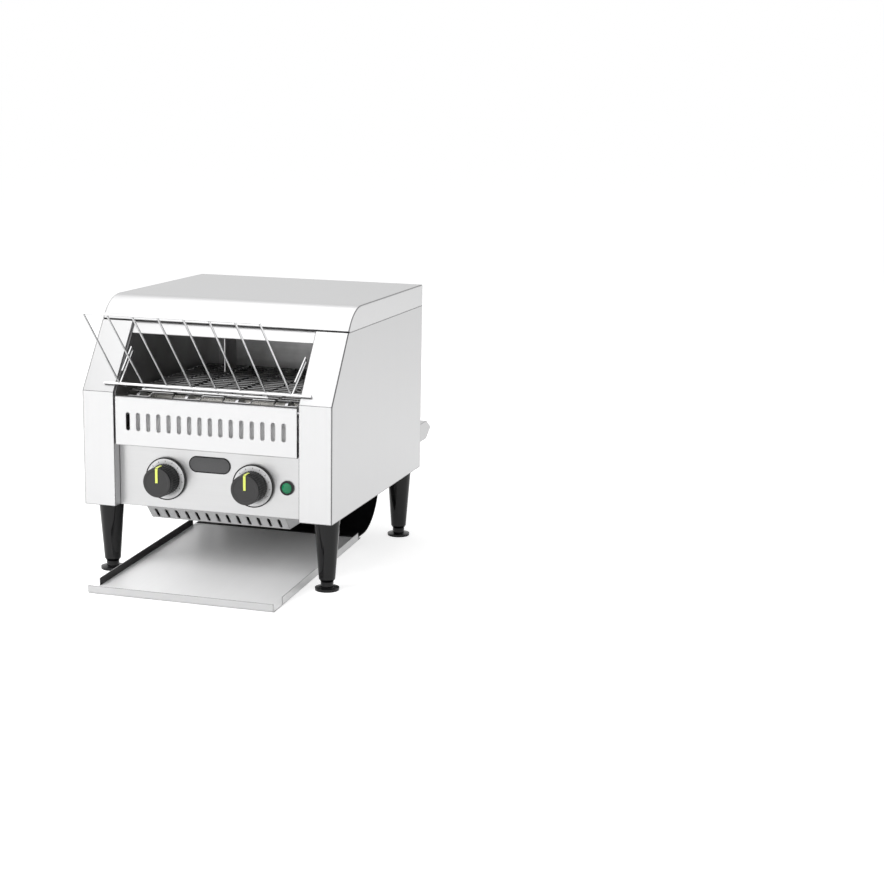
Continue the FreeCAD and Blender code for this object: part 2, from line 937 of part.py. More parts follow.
def cable_gland():
    """Gland with a flange outside the rear panel, a nut inside and a bore for the mains lead."""
    radius = size.gland_diameter / 2
    outside = (size.gland_across, size.body_depth, gland_height)
    flange = bar("y", outside, size.gland_nut_length, radius)
    nose = bar("y", outside, size.gland_length, radius * gland_nose_share)
    within = (size.gland_across, rear_inner - size.gland_nut_length, gland_height)
    neck = bar("y", within, size.gland_length, radius * gland_neck_share)
    nut = bar("y", within, size.gland_nut_length, radius * gland_nut_share)
    bore_start = (size.gland_across, within[1] - size.overrun, gland_height)
    bore_end = size.body_depth + size.gland_length + size.overrun
    bore = bar("y", bore_start, bore_end - bore_start[1], radius * gland_bore_share)
    node("cable_gland", cut(fuse(flange, nose, neck, nut), bore))


cable_gland()


# Legs: tapered, with a chamfer to the neck, a stud through the base plate and a bore for the foot
leg_across = half_width - size.leg_side_inset
leg_back = size.body_depth - size.leg_end_inset
leg_places = {
    "front_left": (-leg_across, size.leg_end_inset),
    "front_right": (leg_across, size.leg_end_inset),
    "rear_left": (-leg_across, leg_back),
    "rear_right": (leg_across, leg_back),
}
leg_neck_bottom = size.foot_thickness + size.moving_clearance
foot_stud_top = size.foot_thickness + size.foot_stud_length
bore_radius = size.foot_stud_diameter / 2 + size.running_clearance


def turned(name, points, x, y):
    """A piece turned about an upright axis from an outline of radius and height, set down at a place."""
    body = new_body(name)
    sketch = new_sketch(body, "XZ")
    polygon(sketch, points)
    result = body.newObject("PartDesign::Revolution", "Turned")
    result.Profile = sketch
    result.ReferenceAxis = (sketch, ["V_Axis"])
    result.Angle = 360
    document.recompute()
    move(body, x, y, 0)
    return body


legs = []
for place, (leg_x, leg_y) in leg_places.items():
    stud_top = floor_top + size.leg_stud_reach
    legs.append(turned(f"{place}_leg", [
        (bore_radius, leg_neck_bottom),
        (size.leg_neck_diameter / 2, leg_neck_bottom),
        (size.leg_neck_diameter / 2, size.leg_low_height - size.leg_chamfer),
        (size.leg_low_diameter / 2, size.leg_low_height),
        (size.leg_top_diameter / 2, size.underside_height),
        (size.leg_stud_diameter / 2, size.underside_height),
        (size.leg_stud_diameter / 2, stud_top),
        (0, stud_top),
        (0, foot_stud_top + size.moving_clearance),
        (bore_radius, foot_stud_top + size.moving_clearance),
    ], leg_x, leg_y))
    foot = turned(f"{place}_foot", [
        (0, 0),
        (size.foot_diameter / 2 - size.moving_clearance, 0),
        (size.foot_diameter / 2, size.foot_thickness / 3),
        (size.foot_diameter / 2, size.foot_thickness * 2 / 3),
        (size.leg_neck_diameter / 2, size.foot_thickness),
        (size.foot_stud_diameter / 2, size.foot_thickness),
        (size.foot_stud_diameter / 2, foot_stud_top),
        (0, foot_stud_top),
    ], leg_x, leg_y)
    node(f"{place}_foot", foot)
    bind(foot, "Placement.Base.y", leg_y - origin_back)
node("legs", *legs)


def leg_nuts():
    """Nuts that hold the leg studs above the base plate."""
    nuts = []
    for leg_x, leg_y in leg_places.values():
        nut = bar("z", (leg_x, leg_y, floor_top), size.leg_nut_height, size.leg_nut_diameter / 2)
        hole = size.leg_stud_diameter / 2
        start = (leg_x, leg_y, floor_top - size.overrun)
        nuts.append(cut(nut, bar("z", start, size.leg_nut_height + 2 * size.overrun, hole)))
    node("leg_nuts", *nuts)


leg_nuts()


# Base plate with the drop opening, the fan inlet and the holes for the leg studs
def base_plate():
    body = new_body("base_plate")

    def plate(sketch):
        rectangle(sketch, (-inside, inside), (fascia_back, rear_inner))

    pad(body, "XY", plate, size.underside_height, floor_top)

    def drop(sketch):
        across = (-drop_half_width, drop_half_width)
        rectangle(sketch, across, (guide_wall, drop_opening_back))

    pocket(body, "XY", drop, size.underside_height - size.overrun, floor_top + size.overrun)

    def holes(sketch):
        circle(sketch, size.fan_across, size.fan_back, size.fan_bore / 2)
        for leg_x, leg_y in leg_places.values():
            circle(sketch, leg_x, leg_y, size.leg_stud_diameter / 2 + size.running_clearance)

    pocket(body, "XY", holes, size.underside_height - size.overrun, floor_top + size.overrun)
    node("base_plate", body)


base_plate()


# Deflector pan: folded sheet under the base plate with slots in its sloping front
pan_half_width = column_inner - size.pan_side_inset
pan_back = guide_wall - size.pan_rear_gap
pan_flat_back = pan_back - size.pan_rear_slope
pan_slot_first = size.pan_slot_margin - pan_half_width
pan_slot_pitch = -2 * pan_slot_first / (PAN_SLOT_COUNT - 1)


def deflector_pan():
    body = new_body("deflector_pan")
    bottom = size.underside_height - size.pan_depth
    profile = [
        (size.pan_front, size.underside_height),
        (size.pan_knee, bottom),
        (pan_flat_back, bottom),
        (pan_back, size.underside_height),
    ]
    half = pan_half_width
    solid = pad(body, "YZ", lambda sketch: polygon(sketch, profile), -half, half)
    hollow(body, solid, lambda face: near(face.BoundBox.ZMin, size.underside_height), size.sheet)

    def slot(sketch):
        middle = bottom + size.sheet * 2 + size.pan_slot_height / 2
        round_slot(sketch, pan_slot_first, middle, size.pan_slot_width, size.pan_slot_height)

    first = pocket(body, "XZ", slot, size.pan_front - size.overrun, size.pan_knee + size.overrun)
    repeat_along(body, first, "H_Axis", pan_slot_pitch, PAN_SLOT_COUNT)
    node("deflector_pan", body)


deflector_pan()


# Return chute: upright back that curves forward and ends just above the tray
def return_chute():
    body = new_body("return_chute")
    outer = chute_back + size.chute_sheet
    upper = chute_underside + size.chute_sheet
    profile = [
        (chute_back, chute_top),
        (outer, chute_top),
        (outer, chute_underside),
        (chute_tip, chute_underside),
        (chute_tip, upper),
        (chute_back, upper),
    ]
    half = chute_half_width
    bent = pad(body, "YZ", lambda sketch: polygon(sketch, profile), -half, half)

    def corner(back, height):
        def test(edge):
            box = edge.BoundBox
            return along_x(edge) and near(box.YMax, back) and near(box.ZMin, height)

        return test

    outside = round_edges(body, bent, corner(outer, chute_underside), size.chute_radius + size.chute_sheet)
    round_edges(body, outside, corner(chute_back, upper), size.chute_radius)
    node("return_chute", body)


return_chute()


# Collection tray: floor that rises to the rear, upturned front lip and low side walls
def collection_tray():
    body = new_body("collection_tray")
    wall = size.tray_sheet
    front = tray_front
    rear = tray_rear
    lip_top = tray_bottom(front) + size.tray_lip_height
    profile = [
        (front, tray_bottom(front)),
        (rear, tray_bottom(rear)),
        (rear, tray_bottom(rear) + wall),
        (front + wall, tray_bottom(front + wall) + wall),
        (front + wall, lip_top),
        (front, lip_top),
    ]
    half = tray_half_width
    floor = pad(body, "YZ", lambda sketch: polygon(sketch, profile), -half, half)

    def fold(back, height):
        def test(edge):
            box = edge.BoundBox
            return along_x(edge) and near(box.YMin, back) and near(box.ZMin, height)

        return test

    bent = round_edges(body, floor, fold(front, tray_bottom(front)), size.tray_lip_radius)
    inner = fold(front + wall, tray_bottom(front + wall) + wall)
    round_edges(body, bent, inner, size.tray_lip_radius - wall)
    low = front + size.tray_wall_setback
    high = rear - size.tray_wall_rear_gap
    side = [
        (low, tray_bottom(low)),
        (high, tray_bottom(high)),
        (high, tray_bottom(high) + size.tray_wall_height),
        (low, tray_bottom(low) + size.tray_wall_height),
    ]
    pad(body, "YZ", lambda sketch: polygon(sketch, side), -half, wall - half)
    pad(body, "YZ", lambda sketch: polygon(sketch, side), half - wall, half)
    node("collection_tray", body)


collection_tray()


# Tray rests: two folded tabs under the chute that carry the rear edge of the tray
def tray_rest(name, across):
    body = new_body(name)
    wall = size.tray_sheet
    front = tray_rear - size.rest_length
    behind = tray_rear + 2 * wall
    back = behind + size.rest_length - 2 * wall
    gap = size.moving_clearance
    profile = [
        (front, tray_bottom(front) - gap - wall),
        (front, tray_bottom(front) - gap),
        (behind, tray_bottom(behind) - gap),
        (behind, chute_underside),
        (back, chute_underside),
        (back, chute_underside - wall),
        (behind + wall, chute_underside - wall),
        (behind + wall, tray_bottom(behind) - gap - wall),
    ]
    low = across - size.rest_width / 2
    pad(body, "YZ", lambda sketch: polygon(sketch, profile), low, low + size.rest_width)
    return body


rest_across = chute_half_width - size.rest_inset
node("tray_rests", *(tray_rest(f"tray_rest_{side}", side * rest_across) for side in (-1, 1)))


# Chamber: inner walls follow the slant, with holes for tubes and shafts
upper_tube_front = upper_reflector_front + size.upper_tube_lead
upper_tube_pitch = (chute_back - size.upper_tube_tail - upper_tube_front) / (TUBE_COUNT - 1)
upper_tube_places = [upper_tube_front + upper_tube_pitch * index for index in range(TUBE_COUNT)]
lower_tube_front = size.idler_back + size.lower_tube_lead
lower_tube_pitch = (drive_back - size.lower_tube_tail - lower_tube_front) / (TUBE_COUNT - 1)
lower_tube_places = [lower_tube_front + lower_tube_pitch * index for index in range(TUBE_COUNT)]
wall_bottom = fascia_top + size.wall_foot_gap
wall_back = chute_back + size.wall_tail
shaft_places = (size.idler_back, drive_back)


def inner_wall(name, side):
    body = new_body(name)
    setback = size.wall_front_setback
    foot = guide_wall - size.sheet
    profile = [
        (setback, wall_bottom),
        (setback, shoulder_height),
        (slant(cover_edge) + setback, cover_edge),
        (upper_reflector_front, upper_reflector_height),
        (upper_tube_front, wall_top),
        (wall_back, wall_top),
        (wall_back, floor_top),
        (foot, floor_top),
        (foot, wall_bottom),
    ]
    low, high = sorted((side * chamber, side * column_inner), key=float)
    pad(body, "YZ", lambda sketch: polygon(sketch, profile), low, high)

    def holes(sketch):
        spare = size.panel_clearance
        for back in upper_tube_places:
            circle(sketch, back, upper_tube_height, size.upper_tube_diameter / 2 + spare)
        for back in lower_tube_places:
            circle(sketch, back, belt_shaft_height, size.lower_tube_diameter / 2 + spare)
        for back in shaft_places:
            circle(sketch, back, belt_shaft_height, size.belt_shaft_diameter / 2 + spare)

    pocket(body, "YZ", holes, low - size.overrun, high + size.overrun)
    node(name, body)


inner_wall("left_inner_wall", -1)
inner_wall("right_inner_wall", 1)


# Reflectors and heat shield
def upper_reflector():
    body = new_body("upper_reflector")
    low = upper_reflector_height
    front = upper_reflector_front
    lip = size.lintel_fold
    profile = [
        (front, low - lip),
        (front + size.sheet, low - lip),
        (front + size.sheet, low),
        (chute_back + size.chute_sheet, low),
        (chute_back + size.chute_sheet, low + size.sheet),
        (front, low + size.sheet),
    ]
    pad(body, "YZ", lambda sketch: polygon(sketch, profile), -chamber, chamber)
    node("upper_reflector", body)


upper_reflector()


def lower_reflector():
    body = new_body("lower_reflector")
    low = lower_reflector_height
    front = fascia_back
    back = guide_wall
    profile = [
        (front, low),
        (back - size.sheet, low),
        (back - size.sheet, floor_top),
        (back, floor_top),
        (back, low + size.sheet),
        (front, low + size.sheet),
    ]
    pad(body, "YZ", lambda sketch: polygon(sketch, profile), -chamber, chamber)
    node("lower_reflector", body)


lower_reflector()


def rear_heat_shield():
    front = chute_back + size.chute_sheet
    height = (chute_top - size.rear_shield_overlap, wall_top)
    node("rear_heat_shield", block((-chamber, chamber), (front, front + size.sheet), height))


rear_heat_shield()


# Element support: sheet hung from the upper reflector that holds the upper tubes and ends in a tongue
def element_support():
    body = new_body("element_support")
    front = upper_reflector_front + size.sheet
    tongue = front + size.support_tongue_depth
    tongue_bottom = upper_reflector_height - size.support_tongue_length
    back = upper_tube_places[-1] + size.upper_tube_diameter
    shoulder = upper_tube_height - size.upper_tube_diameter
    profile = [
        (front, tongue_bottom),
        (tongue, tongue_bottom),
        (tongue, shoulder),
        (back, shoulder),
        (back, upper_reflector_height),
        (front, upper_reflector_height),
    ]
    low = size.support_across
    pad(body, "YZ", lambda sketch: polygon(sketch, profile), low, low + size.sheet)

    def holes(sketch):
        for spot in upper_tube_places:
            circle(sketch, spot, upper_tube_height, size.upper_tube_diameter / 2 + size.panel_clearance)

    pocket(body, "YZ", holes, low - size.overrun, low + size.sheet + size.overrun)
    node("element_support", body)


element_support()


# Heating elements: quartz tubes held in ceramic caps outside the inner walls
tube_half_length = column_inner + size.end_cap_length * 2 / 3
tube_sets = (
    (upper_tube_places, upper_tube_height, size.upper_tube_diameter / 2),
    (lower_tube_places, belt_shaft_height, size.lower_tube_diameter / 2),
)


def heating_elements():
    """Three quartz tubes above the belt and three between its runs."""
    tubes = []
    for places, height, radius in tube_sets:
        for back in places:
            tubes.append(bar("x", (-tube_half_length, back, height), 2 * tube_half_length, radius))
    node("heating_elements", *tubes)


heating_elements()


def element_end_caps():
    caps = []
    for places, height, radius in tube_sets:
        for back in places:
            for side in (-1, 1):
                outer = side * (column_inner + size.end_cap_length)
                low = min((side * column_inner, outer), key=float)
                cap = bar("x", (low, back, height), size.end_cap_length, size.end_cap_diameter / 2)
                ends = (side * (column_inner - size.overrun), side * tube_half_length)
                low, high = sorted(ends, key=float)
                hole = bar("x", (low, back, height), high - low, radius + size.running_clearance)
                caps.append(cut(cap, hole))
    node("element_end_caps", *caps)


element_end_caps()


# Belt shafts, bearings and sprockets
def belt_shaft(name, back, overhang):
    left = -(column_inner + size.bearing_length + size.sheet)
    start = (left, back, belt_shaft_height)
    node(name, bar("x", start, overhang - left, size.belt_shaft_diameter / 2))


belt_shaft("drive_shaft", drive_back, chain_plane + size.chain_width)
belt_shaft("idler_shaft", size.idler_back, column_inner + size.bearing_length + size.sheet)


def shaft_bearings():
    """Bushes outside the inner walls, bored for the shafts."""
    bushes = []
    for back in shaft_places:
        for side in (-1, 1):
            low = min((side * column_inner, side * (column_inner + size.bearing_length)), key=float)
            bush = bar("x", (low, back, belt_shaft_height), size.bearing_length, size.bearing_diameter / 2)
            start = (low - size.overrun, back, belt_shaft_height)
            hole = size.belt_shaft_diameter / 2 + size.running_clearance
            bushes.append(cut(bush, bar("x", start, size.bearing_length + 2 * size.overrun, hole)))
    node("shaft_bearings", *bushes)


shaft_bearings()


def toothed_discs(teeth, pitch_radius, seat_radius, width, places, axis, bore_radius, turn):
    """Discs up to the pitch circle with one seat per tooth, all cut by the same bars along X."""
    back, height = axis
    discs = [bar("x", (across - width / 2, back, height), width, pitch_radius) for across in places]
    low = min(places, key=float) - width
    reach = max(places, key=float) - low + width
    cutters = [bar("x", (low, back, height), reach, bore_radius)]
    for index in range(teeth):
        angle = turn + 2 * math.pi * index / teeth
        spot = (low, back + pitch_radius * math.cos(angle), height + pitch_radius * math.sin(angle))
        cutters.append(bar("x", spot, reach, seat_radius))
    return cut(discs[0] if len(discs) == 1 else group(*discs), *cutters)


belt_seat = size.belt_wire_diameter / 2 + size.belt_gap
sprocket_places = [
    size.belt_sprocket_inset - belt_half_width,
    -size.belt_crank_pitch / 2,
    size.belt_crank_pitch / 2,
    belt_half_width - size.belt_sprocket_inset,
]
for label, back in zip(("idler_belt_sprockets", "drive_belt_sprockets"), shaft_places):
    node(label, toothed_discs(
        BELT_TOOTH_COUNT, belt_radius, belt_seat, size.belt_sprocket_width, sprocket_places,
        (back, belt_shaft_height), size.belt_shaft_diameter / 2, math.pi / 2,
    ))


# Belt: cross wires with three cranks each, placed on the corners of the belt's path
def wire_solid(points, radius):
    """A round wire along straight runs, mitred at its corners."""
    path = Part.makePolygon(points)
    ring = Part.makeCircle(radius, points[0], points[1] - points[0])
    return path.makePipeShell([Part.Wire(ring)], True, False, 1)


def belt_strand():
    """One cross wire in its own plane: X across, Y towards the next wire."""
    half = float(belt_half_width)
    wide = float(size.belt_crank_width) / 2
    reach = float(size.belt_pitch - size.belt_wire_diameter - size.belt_gap)
    points = [(-half, reach), (-half, 0)]
    for index in (-1, 0, 1):
        centre = index * float(size.belt_crank_pitch)
        points += [(centre - wide, 0), (centre - wide, reach), (centre + wide, reach), (centre + wide, 0)]
    points += [(half, 0), (half, reach)]
    return wire_solid([FreeCAD.Vector(x, y, 0) for x, y in points], float(size.belt_wire_diameter) / 2)


def loop_corners(first, second, radius, teeth, span):
    """Corners of a loop round two equal wheels, from the top of the first wheel on."""
    along = (second[0] - first[0], second[1] - first[1])
    tilt = math.atan2(along[1], along[0])
    corners = []
    for wheel, start in ((second, math.pi / 2), (first, -math.pi / 2)):
        other = first if wheel is second else second
        reach = (radius * math.cos(tilt + start), radius * math.sin(tilt + start))
        for step in range(span):
            share = step / span
            back = other[0] + (wheel[0] - other[0]) * share + reach[0]
            height = other[1] + (wheel[1] - other[1]) * share + reach[1]
            corners.append((back, height))
        for step in range(teeth // 2):
            angle = tilt + start - 2 * math.pi * step / teeth
            back = wheel[0] + radius * math.cos(angle)
            height = wheel[1] + radius * math.sin(angle)
            corners.append((back, height))
    return corners


def along_loop(unit, corners, across):
    """Copies of a unit shape, one at each corner of the loop and turned towards the next corner."""
    copies = []
    for index, (back, height) in enumerate(corners):
        ahead = corners[(index + 1) % len(corners)]
        angle = math.degrees(math.atan2(ahead[1] - height, ahead[0] - back))
        copy = unit.copy()
        turn = FreeCAD.Rotation(TURNS["x"], angle)
        copy.Placement = FreeCAD.Placement(FreeCAD.Vector(across, back, height), turn)
        copies.append(copy)
    return Part.makeCompound(copies)


def coded(name, shape):
    """A piece whose shape is worked out here from the sheet's sizes."""
    piece = document.addObject("Part::Feature", name)
    piece.Shape = shape
    node(name, piece)


belt_axes = [(float(back), float(belt_shaft_height)) for back in shaft_places]
belt_path = loop_corners(*belt_axes, float(belt_radius), BELT_TOOTH_COUNT, belt_step_count)
coded("conveyor_belt", along_loop(belt_strand(), belt_path, 0))


def belt_rails():
    """Three flat rails under the upper run, welded on two cross rods between the inner walls."""
    top = belt_shaft_height + belt_radius - size.belt_wire_diameter / 2 - size.moving_clearance
    low = top - size.rail_height
    run = (size.idler_back + size.rail_front_gap, drive_back - size.rail_back_gap)
    parts = []
    for across in (-size.rail_across, length(0), size.rail_across):
        span = (across - size.rail_width / 2, across + size.rail_width / 2)
        parts.append(block(span, run, (low, top)))
    radius = size.rail_rod_diameter / 2
    for near_tube in (0, 1):
        back = lower_tube_places[near_tube] + lower_tube_pitch / 2
        parts.append(bar("x", (-chamber, back, low), 2 * chamber, radius))
    node("belt_rails", fuse(*parts))


belt_rails()


# Chain drive in the right side compartment
motor_axis = (float(motor_back), float(motor_axis_height))
drive_axis = (float(drive_back), float(belt_shaft_height))
chain_turn = math.asin(float(chain_drop / chain_distance)) + math.pi / 2
chain_seat = size.chain_bead_diameter / 2 + size.belt_gap
node("shaft_sprocket", toothed_discs(
    CHAIN_TOOTH_COUNT, chain_radius, chain_seat, size.chain_sprocket_width, [chain_plane],
    (drive_back, belt_shaft_height), size.belt_shaft_diameter / 2, chain_turn,
))
node("motor_sprocket", toothed_discs(
    CHAIN_TOOTH_COUNT, chain_radius, chain_seat, size.chain_sprocket_width, [chain_plane],
    (motor_back, motor_axis_height), size.motor_shaft_diameter / 2, chain_turn,
))


def chain_link():
    """A bead at the pin and two side bars that end short of the next bead."""
    radius = float(size.chain_bead_diameter) / 2
    wide = float(size.chain_width)
    thick = float(size.chain_bar_thickness)
    tall = float(size.chain_bar_height)
    reach = float(size.chain_pitch) - radius - float(size.belt_gap)
    solid = Part.makeCylinder(radius, wide, FreeCAD.Vector(-wide / 2, 0, 0), TURNS["x"])
    for low in (-wide / 2, wide / 2 - thick):
        solid = solid.fuse(Part.makeBox(thick, reach, tall, FreeCAD.Vector(low, 0, -tall / 2)))
    return solid.removeSplitter()


chain_path = loop_corners(
    motor_axis, drive_axis, float(chain_radius), CHAIN_TOOTH_COUNT, CHAIN_STEP_COUNT,
)
coded("drive_chain", along_loop(chain_link(), chain_path, float(chain_plane)))

motor_face = chain_plane - size.chain_width - size.motor_bracket_sheet
motor_height = (motor_axis_height - size.motor_height / 2, motor_axis_height + size.motor_height / 2)
motor_depth = (motor_back - size.motor_width / 2, motor_back + size.motor_width / 2)
motor_can_share = 0.8


def gear_motor():
    """Gear case with a round motor at its left end, bored for the output shaft."""
    case_left = motor_face - size.motor_length / 2
    case = block((case_left, motor_face), motor_depth, motor_height)
    spot = (motor_face - size.motor_length, motor_back, motor_axis_height)
    can = bar("x", spot, size.motor_length / 2, size.motor_height / 2 * motor_can_share)
    radius = size.motor_shaft_diameter / 2 + size.running_clearance
    hole = bar("x", (case_left, motor_back, motor_axis_height), size.motor_length, radius)
    node("gear_motor", cut(fuse(case, can), hole))
    start = (case_left + size.running_clearance, motor_back, motor_axis_height)
    reach = chain_plane + size.chain_width - start[0]
    node("motor_shaft", bar("x", start, reach, size.motor_shaft_diameter / 2))


gear_motor()


def motor_bracket():
    """Angle bracket on the base plate that holds the gear case by its face."""
    thick = size.motor_bracket_sheet
    outer = motor_face + thick
    upright = block((motor_face, outer), motor_depth, (floor_top, motor_height[1]))
    width = (motor_face - size.motor_length / 2, outer)
    foot = block(width, motor_depth, (floor_top, floor_top + thick))
    start = (motor_face - size.overrun, motor_back, motor_axis_height)
    hole = bar("x", start, thick + 2 * size.overrun, size.motor_shaft_diameter)
    node("motor_bracket", cut(fuse(upright, foot), hole))


motor_bracket()


# Cooling fan above the pan, on the base plate
def fan_housing():
    """Square frame with a round duct and a pin on four spokes."""
    half = size.fan_side / 2
    x = size.fan_across
    y = size.fan_back
    frame = block((x - half, x + half), (y - half, y + half), (floor_top, floor_top + size.fan_depth))
    start = (x, y, floor_top - size.overrun)
    duct = bar("z", start, size.fan_depth + 2 * size.overrun, size.fan_bore / 2)
    low = (floor_top, floor_top + size.fan_spoke_height)
    thin = size.fan_spoke_width / 2
    spokes = [
        block((x - half, x + half), (y - thin, y + thin), low),
        block((x - thin, x + thin), (y - half, y + half), low),
    ]
    boss = bar("z", (x, y, floor_top), size.fan_spoke_height, size.fan_hub_diameter / 2)
    pin = bar("z", (x, y, floor_top), size.fan_depth - size.fan_spoke_height, size.fan_pin_diameter / 2)
    node("fan_housing", fuse(cut(frame, duct), *spokes, boss, pin))


fan_housing()


def fan_impeller():
    """Hub with a bore for the pin and seven pitched blades, all turning about the upright pin."""
    centre = FreeCAD.Vector(float(size.fan_across), float(size.fan_back), 0)
    low = float(floor_top + size.fan_spoke_height + size.moving_clearance)
    tall = float(size.fan_depth - size.fan_spoke_height - 2 * size.moving_clearance)
    hub_radius = float(size.fan_hub_diameter) / 2
    chord = float(size.fan_blade_chord)
    thick = float(size.fan_blade_sheet)
    base = centre + FreeCAD.Vector(0, 0, low)
    middle = centre + FreeCAD.Vector(0, 0, low + tall / 2)
    blades = []
    for index in range(FAN_BLADE_COUNT):
        corner = middle + FreeCAD.Vector(hub_radius / 2, -chord / 2, -thick / 2)
        blade = Part.makeBox(float(size.fan_blade_reach) - hub_radius / 2, chord, thick, corner)
        blade.rotate(middle, TURNS["x"], FAN_BLADE_ANGLE)
        blade.rotate(middle, TURNS["z"], 360 * index / FAN_BLADE_COUNT)
        blades.append(blade)
    bore = Part.makeCylinder(float(size.fan_pin_diameter / 2 + size.running_clearance), tall, base)
    coded("fan_impeller", Part.makeCylinder(hub_radius, tall, base).fuse(blades).cut(bore))


fan_impeller()


# Controls behind the fascia
def behind_panel(name, across, side, depth):
    """A control body behind the fascia with a bore for its spindle."""
    half = side / 2
    height = (knob_height - half, knob_height + half)
    case = block((across - half, across + half), (fascia_back, fascia_back + depth), height)
    collar = bar("y", (across, size.fascia_setback, knob_height), size.sheet, size.spindle_clear_hole / 2)
    radius = size.spindle_diameter / 2 + size.running_clearance
    start = (across, size.fascia_setback - size.overrun, knob_height)
    hole = bar("y", start, depth * 2 / 3 + size.overrun, radius)
    node(name, cut(fuse(case, collar), hole))
    return fascia_back + depth / 2


def knob_set(name, across, side, depth, control):
    """Control body, spindle, knob and pointer of a control, and its bezel and rim for their groups."""
    spindle_back = behind_panel(control, across, side, depth)
    spindle_front = knob_back - (knob_back - knob_front) / 2
    spot = (across, spindle_front, knob_height)
    node(f"{name}_spindle", bar("y", spot, spindle_back - spindle_front, size.spindle_diameter / 2))
    body = new_body(f"{name}_knob")
    sketch = new_sketch(body, "XY")
    rim = size.knob_diameter / 2
    face = size.knob_face_diameter / 2
    inner = size.spindle_diameter / 2
    polygon(sketch, [
        (0, knob_front),
        (face - size.knob_edge, knob_front),
        (face, knob_front + size.knob_edge),
        (rim, knob_back),
        (inner, knob_back),
        (inner, spindle_front),
        (0, spindle_front),
    ])
    turned_knob = body.newObject("PartDesign::Revolution", "Turned")
    turned_knob.Profile = sketch
    turned_knob.ReferenceAxis = (sketch, ["V_Axis"])
    turned_knob.Angle = 360
    document.recompute()

    def flute(cutter):
        angle = math.pi / 2 + math.pi / KNOB_FLUTE_COUNT
        radius = rim + size.knob_flute_radius / 2
        circle(cutter, radius * math.cos(angle), radius * math.sin(angle), size.knob_flute_radius)

    first = pocket(body, "XZ", flute, knob_front + 2 * size.knob_edge, knob_back + size.overrun)
    ring = body.newObject("PartDesign::PolarPattern", "Flutes")
    ring.Originals = [first]
    ring.Axis = (first.Profile[0], ["N_Axis"])
    ring.Angle = 360
    ring.Occurrences = KNOB_FLUTE_COUNT
    body.Tip = ring
    document.recompute()
    node(f"{name}_knob", body)
    bind(body, "Placement.Base.x", across)
    bind(body, "Placement.Base.z", knob_height)

    pointer = new_body(f"{name}_pointer")
    proud = size.pointer_proud
    skirt = knob_front + size.knob_edge + size.pointer_skirt_length
    skirt_share = (skirt - knob_front - size.knob_edge) / (knob_back - knob_front - size.knob_edge)
    skirt_radius = face + (rim - face) * skirt_share
    outline = [
        (knob_front - proud, 0),
        (knob_front - proud, face - size.knob_edge),
        (knob_front + size.knob_edge, face + proud),
        (skirt, skirt_radius + proud),
        (skirt, skirt_radius),
        (knob_front + size.knob_edge, face),
        (knob_front, face - size.knob_edge),
        (knob_front, 0),
    ]
    half = size.pointer_width / 2
    pad(pointer, "YZ", lambda drawn: polygon(drawn, outline), -half, half)
    node(f"{name}_pointer", pointer)
    bind(pointer, "Placement.Base.x", across)
    bind(pointer, "Placement.Base.z", knob_height)

    outer = size.bezel_diameter / 2
    spot = (across, bezel_front, knob_height)
    face_spot = (across, bezel_front + size.bezel_rim_proud, knob_height)
    disc = bar("y", face_spot, size.bezel_thickness - size.bezel_rim_proud, outer - size.bezel_rim)
    start = (across, bezel_front - size.overrun, knob_height)
    through = size.bezel_thickness + 2 * size.overrun
    bezels.append(cut(disc, bar("y", start, through, size.spindle_clear_hole / 2)))
    rim_bore = bar("y", start, through, outer - size.bezel_rim)
    rims.append(cut(bar("y", spot, size.bezel_thickness, outer), rim_bore))


bezels = []
rims = []
knob_set("selector", -size.knob_across, size.switch_side, size.switch_depth, "selector_switch")
knob_set("speed", size.knob_across, size.dial_side, size.dial_depth, "speed_controller")
node("knob_bezels", *bezels)
node("bezel_rims", *rims)


# Badge plate: plain pill on the fascia
def badge_plate():
    body = new_body("badge_plate")
    front = size.fascia_setback - size.badge_thickness
    middle = size.underside_height + size.badge_rise

    def pill(sketch):
        round_slot(sketch, length(0), middle, size.badge_width, size.badge_height)

    plate = pad(body, "XZ", pill, front, size.fascia_setback)

    def front_edge(edge):
        return near(edge.BoundBox.YMax, front)

    round_edges(body, plate, front_edge, size.badge_thickness / 2)
    node("badge_plate", body)


badge_plate()


def pilot_light():
    """Dark housing through the fascia and a coloured lens in its flange."""
    flange_front = size.fascia_setback - size.pilot_flange
    x = pilot_across
    z = pilot_height
    lens_radius = size.pilot_diameter / 2 - size.pilot_rim
    flange = bar("y", (x, flange_front, z), size.pilot_flange, size.pilot_diameter / 2)
    reach = size.pilot_barrel_length
    barrel = bar("y", (x, size.fascia_setback, z), reach, size.pilot_barrel_diameter / 2)
    recess = bar("y", (x, flange_front - size.overrun, z), size.overrun + size.pilot_flange, lens_radius)
    node("pilot_housing", cut(fuse(flange, barrel), recess))
    body = new_body("pilot_lens")
    front = flange_front - size.pilot_lens_proud

    def disc(sketch):
        circle(sketch, x, z, lens_radius)

    lens = pad(body, "XZ", disc, front, size.fascia_setback)
    round_edges(body, lens, lambda edge: near(edge.BoundBox.YMax, front), size.pilot_lens_proud)
    node("pilot_lens", body)


pilot_light()


# Terminal block on the base plate
terminal_front = rear_inner - size.terminal_back_gap


def terminal_block():
    left = size.terminal_across
    depth = (terminal_front, terminal_front + size.terminal_depth)
    base = block((left, left + size.terminal_width), depth, (floor_top, floor_top + size.terminal_height))
    pitch = size.terminal_width / TERMINAL_COUNT
    cells = []
    for index in range(TERMINAL_COUNT):
        across = left + pitch / 2 + pitch * index
        start = (across, terminal_front - size.overrun, floor_top + size.terminal_height * 2 / 3)
        cells.append(bar("y", start, size.terminal_depth + 2 * size.overrun, size.terminal_height / 8))
    node("terminal_block", cut(base, *cells))


terminal_block()


